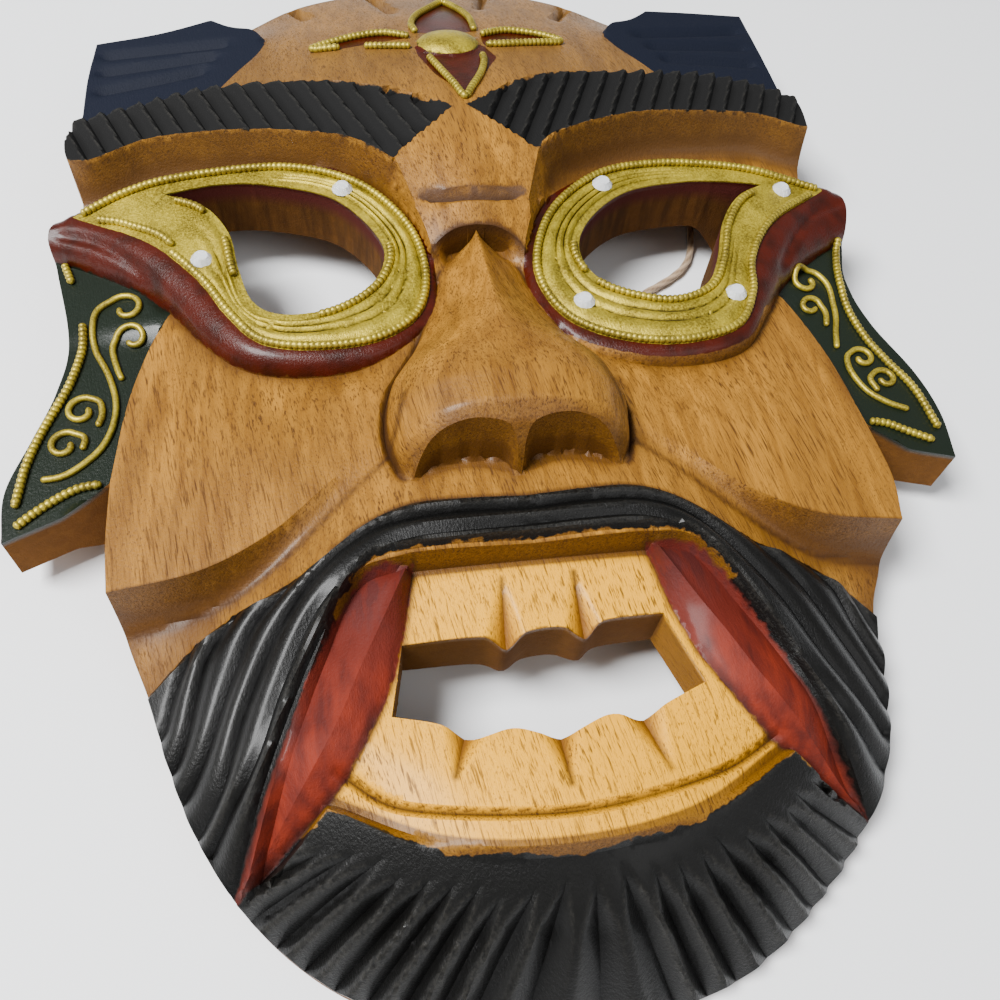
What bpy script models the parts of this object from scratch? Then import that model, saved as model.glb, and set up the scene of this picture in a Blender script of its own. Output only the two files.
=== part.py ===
"""A carved wooden demon mask, lying face up on the flat rim of its back.

The mask is one piece of wood: a sawn outline, a carved face, two eye holes, a mouth hole and a hollow
back. Gold threads of hardened paste and small glass stones are laid on it, and a loop of twine for
hanging lies in the hollow. +Z is up, +X is to the right of whoever looks down on the face, and +Y
points to the crown. The carving is drawn in millimetres on a face of the drawn size, and everything
on it is scaled to the face's real size.
"""
import math

import bmesh
import bpy
import numpy as np
from mathutils import Vector, geometry
from mathutils.bvhtree import BVHTree

# Driving sizes, in metres
FACE_WIDTH = 0.2020
FACE_LENGTH = 0.2700
FACE_DEPTH = 0.0460
RIM_WIDTH = 0.0120
HOLLOW_DEPTH = 0.0130
NOSE_POCKET = 0.0090
EAR_UNDERSIDE = 0.0060
ROPE_DIAMETER = 0.0019
FINE_THREAD = 0.0014
STONE_DIAMETER = 0.0047
STONE_HEIGHT = 0.0018
TWINE_DIAMETER = 0.0020
TWINE_HOLE_TOP = 0.0170
TWINE_HOLE_SPACING = 0.1320
TWINE_HOLE_UP = 0.0640
GAP = 0.0003
STONE_TABLE = 0.55
TWINE_BEND = 0.0050

# The drawing: its size in millimetres, and how far apart its points are set
DRAWN_WIDTH = 202.0
DRAWN_LENGTH = 270.0
DRAWN_DEPTH = 46.0
LINE_STEP = 5.4
FILL_STEP = 9.0
FILL_CLEAR = 3.2
HOLLOW_SLOPE = 14.0
MERGE_STEP = 0.25
SLOPE_ROWS = (0, 0.3, 0.6, 0.95)
FOOT_CLEAR = 1.2
ROPE_STEP = 6.0
SCROLL_STEP = 3.6
TWINE_STEP = 0.0054
PETAL_STEP = 4.0
CURL_TURN = 5.6

SCALE_X = FACE_WIDTH / DRAWN_WIDTH
SCALE_Y = FACE_LENGTH / DRAWN_LENGTH
SCALE_Z = FACE_DEPTH / DRAWN_DEPTH

# Colours (linear) of the plain materials
WOOD = (0.42, 0.20, 0.065, 1.0)
GOLD = (0.50, 0.38, 0.12, 1.0)
GLASS = (0.85, 0.88, 0.90, 1.0)
TWINE = (0.55, 0.42, 0.28, 1.0)


def curve(points, step=LINE_STEP, closed=False):
    """Even points on a rounded curve through a few chosen ones."""
    p = np.array(points, float)
    if closed:
        p = np.vstack([p[-1], p, p[0], p[1]])
    else:
        p = np.vstack([2 * p[0] - p[1], p, 2 * p[-1] - p[-2]])
    fine = []
    for a, b, c, d in zip(p[:-3], p[1:-2], p[2:-1], p[3:]):
        t = np.linspace(0, 1, 16, endpoint=False)[:, None]
        fine.append(0.5 * (2 * b + (c - a) * t + (2 * a - 5 * b + 4 * c - d) * t ** 2
                           + (3 * b - a - 3 * c + d) * t ** 3))
    fine = np.vstack(fine + [p[-2][None]])
    run = np.concatenate([[0], np.cumsum(np.linalg.norm(np.diff(fine, axis=0), axis=1))])
    count = max(2, round(run[-1] / step) + 1)
    at = np.linspace(0, run[-1], count)
    out = np.stack([np.interp(at, run, fine[:, k]) for k in range(p.shape[1])], axis=1)
    return out[:-1] if closed else out


def outline(runs, step=LINE_STEP):
    """A closed outline of rounded runs that meet at corners."""
    return np.vstack([curve(run, step)[:-1] for run in runs])


def mirrored(points):
    """The same points on the other half of the face."""
    return [(-x, *rest) for x, *rest in points]


def inside(x, y, loop):
    """Distance in from a closed outline: positive inside it, negative outside."""
    best = np.full(x.shape, 1e9)
    within = np.zeros(x.shape, bool)
    for (ax, ay), (bx, by) in zip(loop, np.roll(loop, -1, axis=0)):
        dx, dy = bx - ax, by - ay
        if dx == dy == 0:
            continue
        t = np.clip(((x - ax) * dx + (y - ay) * dy) / (dx * dx + dy * dy), 0, 1)
        best = np.minimum(best, np.hypot(x - ax - t * dx, y - ay - t * dy))
        if dy != 0:
            within ^= ((ay > y) != (by > y)) & (x < dx * (y - ay) / dy + ax)
    return np.where(within, best, -best)


def beside(x, y, line):
    """Distance from an open line, and the share of its length at the nearest point."""
    steps = np.linalg.norm(np.diff(line, axis=0), axis=1)
    starts = np.concatenate([[0], np.cumsum(steps)])
    best = np.full(x.shape, 1e9)
    share = np.zeros(x.shape)
    for (ax, ay), (bx, by), start, length in zip(line[:-1], line[1:], starts, steps):
        dx, dy = bx - ax, by - ay
        t = np.clip(((x - ax) * dx + (y - ay) * dy) / (dx * dx + dy * dy), 0, 1)
        d = np.hypot(x - ax - t * dx, y - ay - t * dy)
        share = np.where(d < best, (start + t * length) / starts[-1], share)
        best = np.minimum(best, d)
    return best, share


def ramp(value, low, high):
    """0 below low, 1 above high, and an even curve between."""
    t = np.clip((value - low) / (high - low), 0, 1)
    return t * t * (3 - 2 * t)


def draped(heights):
    """A smooth surface through chosen heights on the right half and their mirror images."""
    p = np.array(heights + [(-x, y, z) for x, y, z in heights if x > 0], float)
    size = len(p)

    def bend(dx, dy):
        r2 = dx * dx + dy * dy
        return r2 * np.log(r2 + 1e-9)

    system = np.zeros((size + 3, size + 3))
    system[:size, :size] = bend(p[:, 0, None] - p[None, :, 0], p[:, 1, None] - p[None, :, 1])
    system[:size, size:] = np.column_stack([np.ones(size), p[:, 0], p[:, 1]])
    system[size:, :size] = system[:size, size:].T
    weights = np.linalg.solve(system, np.concatenate([p[:, 2], np.zeros(3)]))

    def surface(x, y):
        total = weights[size] + weights[size + 1] * x + weights[size + 2] * y
        for (px, py, _), weight in zip(p, weights):
            total = total + weight * bend(x - px, y - py)
        return total

    return surface


# The sawn outline, corner to corner, drawn clockwise from the left end of the crown
CROWN = [(-53, 116), (-38.5, 125.5), (-20, 132.5), (0, 135), (20, 132.5), (38.5, 124.5), (56, 114.5)]
RIGHT_SIDE = [
    [(56, 114.5), (72, 115.5), (90, 116)],
    [(90, 116), (91, 97), (91.5, 79)],
    [(91.5, 79), (93.5, 73), (92.5, 63), (90, 52.5)],
    [(90, 52.5), (91, 44.5)],
    [(91, 44.5), (95.8, 40.5), (96, 35.5), (94.6, 28.5)],
    [(94.6, 28.5), (91.5, 17), (93.5, 3), (99, -12), (101, -24), (100, -36)],
    [(100, -36), (90, -33), (79.6, -28.5)],
    [(79.6, -28.5), (80.8, -42), (79.2, -52.5)],
    [(79.2, -52.5), (76.5, -59), (73, -67), (70.5, -82), (66, -97), (58, -109), (46, -120), (30, -130),
     (14, -134), (0, -135)],
]
LEFT_SIDE = [
    [(0, -135), (-14, -134), (-30, -129.5), (-44, -122), (-56, -110.5), (-64.5, -96.5), (-70, -82),
     (-73.5, -70), (-77, -60), (-79.2, -52.5)],
    [(-79.2, -52.5), (-79.8, -42), (-79.6, -28.5)],
    [(-79.6, -28.5), (-90, -33), (-100.5, -37.5)],
    [(-100.5, -37.5), (-101, -26), (-97, -14), (-93, -2), (-91.3, 12), (-95.5, 34)],
    [(-95.5, 34), (-96.5, 39), (-95, 43.5)],
    [(-95, 43.5), (-91, 45.5)],
    [(-91, 45.5), (-90.5, 54)],
    [(-90.5, 54), (-93, 62), (-93, 71), (-91, 79)],
    [(-91, 79), (-90.8, 94), (-89.5, 108.5)],
    [(-89.5, 108.5), (-72, 110.5), (-53, 116)],
]

# Eyes: the gold band's outer edge, the hole, and the foot of the red wall round the band
EYES = {
    "left": {
        "band": [[(-91, 43), (-79, 49), (-60.5, 53.5), (-41, 54.5), (-25, 48), (-14.5, 34), (-11.4, 19),
                  (-14.5, 6), (-24, -1), (-37, -2.5), (-49, 0), (-56, 8), (-63, 20), (-74, 32), (-91, 43)]],
        "hole": [[(-70, 46.5), (-59, 49), (-47, 48.5), (-31, 42.5), (-21.5, 28), (-23.5, 17), (-33, 9.5),
                  (-44, 8), (-50.5, 12), (-53.5, 22), (-55.5, 33), (-61, 42), (-70, 46.5)]],
        "wall": [[(-93, 45), (-79, 50.3), (-60.5, 54.6), (-41, 55.5), (-24.1, 48.8), (-13.0, 34.6), (-9.6, 19),
                  (-13, 4.5), (-24, -4.5), (-38, -6.5), (-52, -3.5), (-62, 5.5), (-70, 17), (-79, 25.5),
                  (-96, 36), (-106, 38), (-106, 46), (-93, 45)]],
    },
    "right": {
        "band": [[(91.5, 41.5), (78, 45.8), (63.5, 49.6), (47.5, 51), (32, 47.6), (18.5, 35.5), (12.2, 18),
                  (16, 3.5), (27, -4.4), (42, -7), (56, -3.5), (62.5, 6), (65.5, 17), (74, 29), (91.5, 41.5)]],
        "hole": [[(74, 41.7), (64, 43.3), (53.5, 43.7), (39, 41), (28, 32), (24, 22), (28, 12.5), (41, 7),
                  (51, 9.5), (56, 17), (60.5, 29), (66.5, 37.5), (74, 41.7)]],
        "wall": [[(92, 44), (78, 46.9), (63.5, 50.7), (47.5, 52.1), (31.2, 48.8), (16.9, 36.6), (10.2, 18),
                  (14.5, 1.5), (26, -8), (42, -10.5), (57, -7), (66.5, 4), (74, 14), (84, 22.5), (95, 29.5),
                  (106, 34), (106, 42), (92, 44)]],
    },
}
BROWS = {
    "left": {
        "top": [(-93, 74), (-74, 78), (-60, 80), (-45, 79), (-29, 74.5), (-16, 68), (-0.5, 58.5)],
        "foot": [(-18.5, 44), (-24, 48.8), (-29, 53.5), (-44, 59.3), (-58, 61.7), (-74, 62),
                 (-87.5, 57.5), (-95, 60)],
    },
    "right": {
        "top": [(95, 74), (88, 78), (72, 81.8), (51, 80.5), (31, 76.5), (17, 71), (0.5, 58.5)],
        "foot": [(17, 45.5), (21, 50.5), (31, 56.5), (46, 62), (61, 64.2), (78, 65), (90, 61.5), (97, 62)],
    },
}
MOUTH_HOLE = [
    [(-26, -70), (-12, -70.3), (-7, -72.3), (-3, -70.3), (3, -70), (8, -71.8), (12, -69.5), (23.5, -69)],
    [(23.5, -69), (28.5, -83)],
    [(28.5, -83), (21, -86), (15, -88.6), (9, -87.5), (0, -90.4), (-8, -88), (-15, -88.8), (-21, -85.5),
     (-29, -83)],
    [(-29, -83), (-26, -70)],
]
MOUTH_FIELD = [
    [(-23, -54.5), (0, -54.8), (22, -54.5)],
    [(22, -54.5), (32, -56), (41, -69), (50, -87), (59.5, -108.5)],
    [(59.5, -108.5), (51, -104), (42, -97)],
    [(42, -97), (22, -107), (0, -110.2), (-22, -107), (-41, -97)],
    [(-41, -97), (-48, -103), (-57, -108.5)],
    [(-57, -108.5), (-49, -89), (-41, -70), (-34, -57), (-23, -54.5)],
]
FANG = {
    "edge": [[(22.5, -55.5), (32, -56.8), (40.8, -70.4), (49.3, -88), (59, -108.3)],
             [(59, -108.3), (49, -101), (38, -92.5), (29.8, -80), (26, -70), (22.5, -55.5)]],
    "ridge": [(24, -57), (33, -73), (41, -87.5), (57, -106.5)],
}
LIP_GROOVE = [(-39, -91), (-27, -99), (0, -103.5), (26, -99.5), (41, -93)]
HAIR_TOP = [(0, -44.6), (12, -43.8), (22, -43.6), (31, -46.5), (40, -52), (47, -55.2), (55, -57),
            (63, -60.5), (70, -65.5), (78, -72)]
HAIR_FOOT = [(59.5, -109), (49.8, -87), (41, -69), (32, -56), (22, -53.8), (0, -54)]
CHEEK_EDGE = [(79.2, -52.5), (62, -51), (48.5, -45), (37, -35.5), (28, -27.5), (25.3, -21)]
CHEEK_SIDE = [(62, 26), (70, 15), (76.5, -6), (79.6, -28.5)]
NOSE_SIDE = [(0, 26.6), (5.5, 23.6), (9.5, 18), (12.5, 8), (18, -5), (23.5, -15), (25.3, -25), (24, -33), (20.5, -38.3),
             (0.6, -38.8)]
NOSTRIL = [(0.7, -38.6), (2.2, -36.4), (6, -34.8), (10.5, -34.4), (16, -35), (19, -36.6), (20.8, -38.6)]
EAR_BACK = [(102, 37), (88, 30), (79, 18), (76.5, 2), (78.5, -15), (79.6, -28.5)]
BODY_EDGE = [(0, 134), (30, 128), (53, 117), (74, 109), (86, 93), (89, 70), (87, 46), (80, 26), (75, 8),
             (77, -20), (78, -45), (72, -68), (68, -84), (62, -98), (54, -110), (42, -121), (24, -130),
             (0, -134)]
BRIDGE_FOOT = [(13, 19.5), (9.5, 24), (5, 26.3), (0, 26.8)]
WING = [(59, 79), (53, 88), (47.5, 96), (45.6, 103), (48.5, 108.5), (56, 112), (70, 125)]

# Heights above the table that each part of the face is carved to
CHEEK_HEIGHT = draped([(14, 12, 26.5), (30, -6, 24.5), (45, -6, 23.5), (61, 3, 22.5), (75, 20, 21),
                       (78, 0, 22), (79, -25, 23), (79, -52, 23), (62, -51, 25.5), (48, -45, 27),
                       (37, -36, 28), (28, -28, 28.5), (27, -12, 27), (50, -25, 26.5)])
MUZZLE_HEIGHT = draped([(0, -39, 31.5), (0, -47, 32), (0, -54, 31.5), (20, -36, 30), (28, -31, 28),
                        (24, -48, 31), (38, -41, 26), (40, -56, 27.5), (50, -50, 21.5), (50, -75, 22.5),
                        (62, -56, 16), (60, -72, 17), (76, -57, 12), (72, -68, 10.5), (70, -84, 9),
                        (65, -97, 8.5), (58, -92, 16.5), (57, -109, 8), (45, -103, 19), (45, -120, 7),
                        (30, -113, 19), (30, -129, 7), (12, -114, 22.5), (0, -114, 23), (14, -133, 6.5),
                        (0, -124, 16.5), (0, -134, 6.5), (36, -119, 13.5)])
SOCKET_HEIGHT = draped([(9, 20, 26.5), (12, 34, 27), (17, 43, 28.5), (30, 52, 25.5), (45, 58, 24),
                        (60, 59, 22.5), (77, 58, 21), (88, 54, 19.5), (90, 45, 19), (60, 10, 22)])
FOREHEAD_HEIGHT = draped([(0, 58, 40.5), (17, 45.5, 38), (0, 46, 39.5), (0, 35.5, 37), (10, 35, 35),
                          (0, 27, 33.5), (7, 26.5, 32.5), (12, 21, 28.5), (0, 75, 38), (0, 88, 35.5),
                          (0, 110, 29.5), (0, 135, 20), (30, 80, 35.5), (30, 110, 27.5), (38, 124, 22),
                          (50, 108, 25), (50, 85, 30.5), (75, 85, 25), (88, 100, 20), (52, 117, 20.5)])
RIDGE_HEIGHT = [(26.8, 32.2), (20, 33.8), (10, 36.5), (-10, 42.5), (-24, 46), (-31, 45.6), (-35, 43),
                (-37.4, 38), (-38.8, 33)]
NOSE_HALF_WIDTH = [(26.8, 1), (24, 5.5), (18, 9.5), (8, 12.5), (-5, 18), (-15, 23.5), (-25, 25.3), (-33, 24),
                   (-38.3, 20.5), (-40, 18)]
EAR_HEIGHT = 18.5
BAND_HEIGHT = 28.0
BAND_TIP_DROP = 2.5
WING_HEIGHT = 29.0
BROW_HEIGHT = 40.5
BROW_FALL = 0.128
TEETH_HEIGHT = 26.5
FANG_RISE = 4.5
FANG_FOOT = 0.8
COVE_WIDTH = 6.0
WALL_WIDTH = 1.0
CHEEK_WALL_WIDTH = 4.5
BOSS_CENTRE = (0.8, 89.4)
BOSS_SIZE = (8.0, 6.8)
BOSS_RISE = 2.6

# Carved lines
BROW_GROOVES = 17
BROW_GROOVE_LEAN = 0.42
BROW_GROOVE_DEPTH = 1.5
BEARD_GROOVES = 25
BEARD_GROOVE_DEPTH = 2.2
MOUSTACHE_GROOVES = 4
HAIR_GROOVE_DEPTH = 1.5
SIDE_STRANDS = [
    [(46, -55.6), (56, -73), (64, -94)],
    [(54, -57.4), (62.5, -73), (68, -88)],
    [(62, -60.8), (68.5, -73), (71, -80)],
]
CROWN_CUTS = [[(-38.5, 125.5), (-34, 115)], [(-17, 133.3), (-11, 113)], [(17, 133.3), (13, 116)],
              [(39.5, 124), (33.5, 111)]]
FROWN_LINES = [[(-11, 34.8), (0, 35.3), (10, 34.8)]]
TOOTH_GAPS = [[(-6.3, -59.5), (-7, -72)], [(7.5, -59.5), (8, -72)], [(-19.2, -95), (-16, -87)],
              [(0, -99), (0, -88.5)], [(18, -98), (15, -87)]]
TOOTH_GAP_DEPTH = 3.1
TOOTH_GAP_WIDTH = 3.3
FROWN_DEPTH = 2.0
FROWN_HALF_WIDTH = 1.3
CROWN_CUT_DEPTH = 2.2
CROWN_CUT_HALF_WIDTH = 2.0
WING_CUT_DEPTH = 1.5
WING_CUT_HALF_WIDTH = 2.2
BROW_GROOVE_HALF_WIDTH = 1.9
HAIR_GROOVE_HALF_WIDTH = 1.5
HAIR_RISE = 1.8
BEARD_GROOVE_HALF_WIDTH = 2.6
LIP_GROOVE_DEPTH = 1.0
LIP_GROOVE_HALF_WIDTH = 1.2
NOSTRIL_HEIGHT = 31.5


# Lines that the gold threads lie along, and the middles of the stones
SWEEP_ROPE = [(-85.0, 40.8), (-80.0, 38.8), (-76.3, 36.6), (-70.9, 33.3), (-67.6, 29.8)]
OUTER_ROPE_END = {"left": (-71.5, 29.8), "right": (90.0, 40.6)}
INNER_ROPES = {
    "left": [((-55.2, 19.3), (-57.9, 31.2)), ((-62.0, 38.3), (-68.0, 46.0)), ((-20.8, 27.2), (-38.8, 8.1))],
    "right": [((22.6, 24.8), (23.6, 15.3)), ((25.0, 11.9), (71.0, 38.5))],
}
EAR_ROPES = {
    "left": [
        [(-93.6, 34.5), (-91.6, 28.5)],
        [(-88.3, 16.0), (-88.2, 9.0), (-90.0, 0.4), (-92.4, -6.0), (-95.0, -12.6), (-97.2, -20), (-98.6, -30)],
        [(-98.2, -34.6), (-95.0, -31.8), (-91.0, -28.9), (-86.6, -26.6), (-82.2, -26.0)],
    ],
    "right": [
        [(92.8, 29.0), (89.8, 18.7), (88.9, 8.0), (90.2, -1.0), (93.0, -8.6), (96.8, -17.0), (98.6, -28.6)],
        [(83.0, -25.2), (87.0, -26.2), (91.0, -28.6), (96.4, -31.6)],
    ],
}
EAR_SCROLLS = {
    "left": [
        ((-79.2, 19.0), -1, [(-81.6, 22.4), (-85.4, 19.5), (-86.2, 14.6), (-85.4, 8.8), (-82.4, 1.9), (-80.5, -5.2),
                            (-80.7, -11.4), (-82.6, -16.8), (-85.9, -20.6), (-89.9, -23.3), (-94.2, -23.9)]),
        ((-77.6, 11.2), -1, [(-80.8, 12.3), (-81.8, 8.8), (-80.6, 3.4), (-79.4, 0.2)]),
        ((-87.2, -7.4), 1, [(-86.4, -3.9), (-83.8, -5.2), (-83.1, -8.6), (-83.9, -11.6)]),
        ((-90.2, -15.8), 1, [(-89.2, -12.6), (-86.3, -14.2), (-86.6, -17.2)]),
    ],
    "right": [
        ((80.4, 15.8), 1, [(80.8, 19.6), (84.0, 18.4), (85.9, 14.0), (85.4, 6.4), (83.6, 0.6), (82.4, -4.0)]),
        ((79.9, 9.0), 1, [(82.2, 10.2), (83.0, 6.8), (82.0, 2.8)]),
        ((87.6, -7.4), -1, [(86.2, -5.0), (84.0, -6.8), (83.5, -11.0), (85.4, -16.6), (89.2, -20.4), (93.6, -22.8)]),
        ((90.9, -13.8), -1, [(89.2, -11.7), (87.4, -13.6), (88.2, -17.2)]),
    ],
}
CURL_END = 1.0
DIADEM = {
    "right": [(9.9, 94.2), (16.9, 97.3), (25.5, 96.0), (31.0, 92.2), (22.2, 89.6), (14.6, 88.2), (10.4, 87.9)],
    "left_top": [(-8.6, 93.8), (-15.5, 96.9), (-23.8, 95.7), (-33.6, 91.4), (-26.6, 90.2)],
    "left_low": [(-20.6, 89.3), (-14.4, 88.3), (-8.9, 87.6)],
    "bottom": [(-5.0, 81.6), (-2.9, 75.0), (-0.6, 67.9), (1.5, 61.8), (4.0, 66.2), (6.9, 72.4), (8.6, 78.6),
               (8.6, 82.4)],
    "top": [(-6.8, 96.6), (-7.4, 102.0), (-5.6, 108.2), (-1.6, 114.6), (3.0, 120.6), (6.4, 114.8), (8.6, 106.5),
            (8.8, 97.4)],
}
STONES = {
    "left": [(-29.2, 45.4), (-61.4, 25.2)],
    "right": [(33.4, 43.1), (79.0, 40.2), (22.0, 6.4), (57.6, 6.3)],
}
TWINE_ROUTE = [(64.2, 49.5), (62.5, 44.3), (59.1, 39.4), (53.5, 35.3), (46.9, 31.5), (30, 20), (8, 11), (-15, 8),
               (-38, 11), (-54, 22), (-63, 37), (-66, 50)]


def brow_loop(brow):
    """The outline of one painted brow, wide of the sawn edge at its outer end."""
    return np.vstack([curve(brow["top"])[:-1], curve(brow["foot"])])


def between(near, far, share, count=24):
    """A line part of the way from one guide line to another."""
    a, b = (curve(np.array(g, float), 1.0) for g in (near, far))
    at = np.linspace(0, 1, count)
    lines = [np.stack([np.interp(at, np.linspace(0, 1, len(g)), g[:, k]) for k in (0, 1)], axis=1)
             for g in (a, b)]
    return lines[0] * (1 - share) + lines[1] * share


def brow_grooves():
    """The slanting cuts across both brows."""
    cuts = []
    for side, brow in BROWS.items():
        sign = -1 if side == "left" else 1
        loop = brow_loop(brow)
        for number in range(BROW_GROOVES):
            reach = 9 + number * (88 - 9) / (BROW_GROOVES - 1)
            y = np.linspace(40, 90, 101)
            x = sign * (reach + BROW_GROOVE_LEAN * (y - 60))
            keep = inside(x, y, loop) > 0.6
            if keep.sum() > 8:
                cuts.append(np.stack([x[keep], y[keep]], axis=1)[[0, keep.sum() // 2, -1]])
    return cuts


def moustache_lines():
    """The cuts along the moustache, which turn down beside the fangs, and the side strands."""
    edge = [(0, -44.6), (12, -43.9), (22, -43.9), (31, -47), (40, -53.5), (51, -70), (61, -92), (64, -99)]
    root = HAIR_FOOT[::-1]
    cuts = [between(root, edge, (k + 1) / (MOUSTACHE_GROOVES + 1)) for k in range(MOUSTACHE_GROOVES)]
    cuts.append(curve(edge[4:]))
    cuts += [curve(strand) for strand in SIDE_STRANDS]
    return cuts + [np.array(mirrored(cut)) for cut in cuts]


def beard_grooves():
    """The cuts that spread from the lower lip to the edge of the chin."""
    jaw = curve([(-61, -103), (-46, -120), (-30, -129.5), (0, -135), (30, -130), (46, -120), (62, -103)], 1.0)
    lip = curve([(-44, -100), (-22, -108.5), (0, -111.5), (22, -108.5), (45, -100)], 1.0)
    cuts = []
    for number in range(BEARD_GROOVES):
        share = (number + 0.5) / BEARD_GROOVES
        start = lip[int(share * (len(lip) - 1))]
        end = jaw[int(share * (len(jaw) - 1))]
        cuts.append(np.array([start, 0.5 * (start + end), end]))
    return cuts


def wing_grooves(side):
    """The long cuts on one blue wing."""
    tops = (109, 101, 93) if side == "right" else (103, 96, 88)
    sign = 1 if side == "right" else -1
    return [np.array([(sign * (53 + 3 * k), 103 - 5 * k), (sign * 72, 0.5 * (103 - 5 * k + top)),
                      (sign * 90, top)]) for k, top in enumerate(tops)]


def carve(height, x, y, cuts, depth, half_width):
    """Cut V grooves along lines into a surface."""
    deepest = np.zeros(x.shape)
    for cut in cuts:
        d, share = beside(x, y, cut)
        ends = ramp(np.minimum(share, 1 - share), -0.02, 0.12)
        deepest = np.maximum(deepest, depth * np.clip(1 - d / half_width, 0, 1) * ends)
    return height - deepest


def muzzle_loop():
    edge = curve(CHEEK_EDGE)
    half = np.vstack([[(95, -150), (95, -54)], edge])
    return np.vstack([half, np.array(mirrored(half[::-1]))])


def forehead_loop():
    half = [(110, 68), (91, 66), (61, 66), (31, 60), (17, 45.5), (13.2, 34), (13, 19.5)]
    return np.vstack([half, curve(BRIDGE_FOOT)[1:-1], mirrored(curve(BRIDGE_FOOT)[::-1]),
                      mirrored(half[-2::-1]), [(-110, 150), (110, 150)]])


def hair_loop():
    half = np.vstack([curve(HAIR_TOP), [(80, -112), (59.5, -109)], curve(HAIR_FOOT)])
    return np.vstack([half, np.array(mirrored(half[::-1]))[1:-1]])


def nose_loop():
    side = curve(NOSE_SIDE)
    return np.vstack([side, np.array(mirrored(side[::-1]))[:-1]])


def wing_loops():
    right = np.vstack([curve(WING), [(110, 125), (110, 70)]])
    return right, np.array(mirrored(right))


def ear_loops():
    right = np.vstack([curve(CHEEK_SIDE), [(110, -45), (110, 46)]])
    return right, np.array(mirrored(right))


def fang_loops():
    right = outline(FANG["edge"])
    return right, np.array(mirrored(right))


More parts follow.
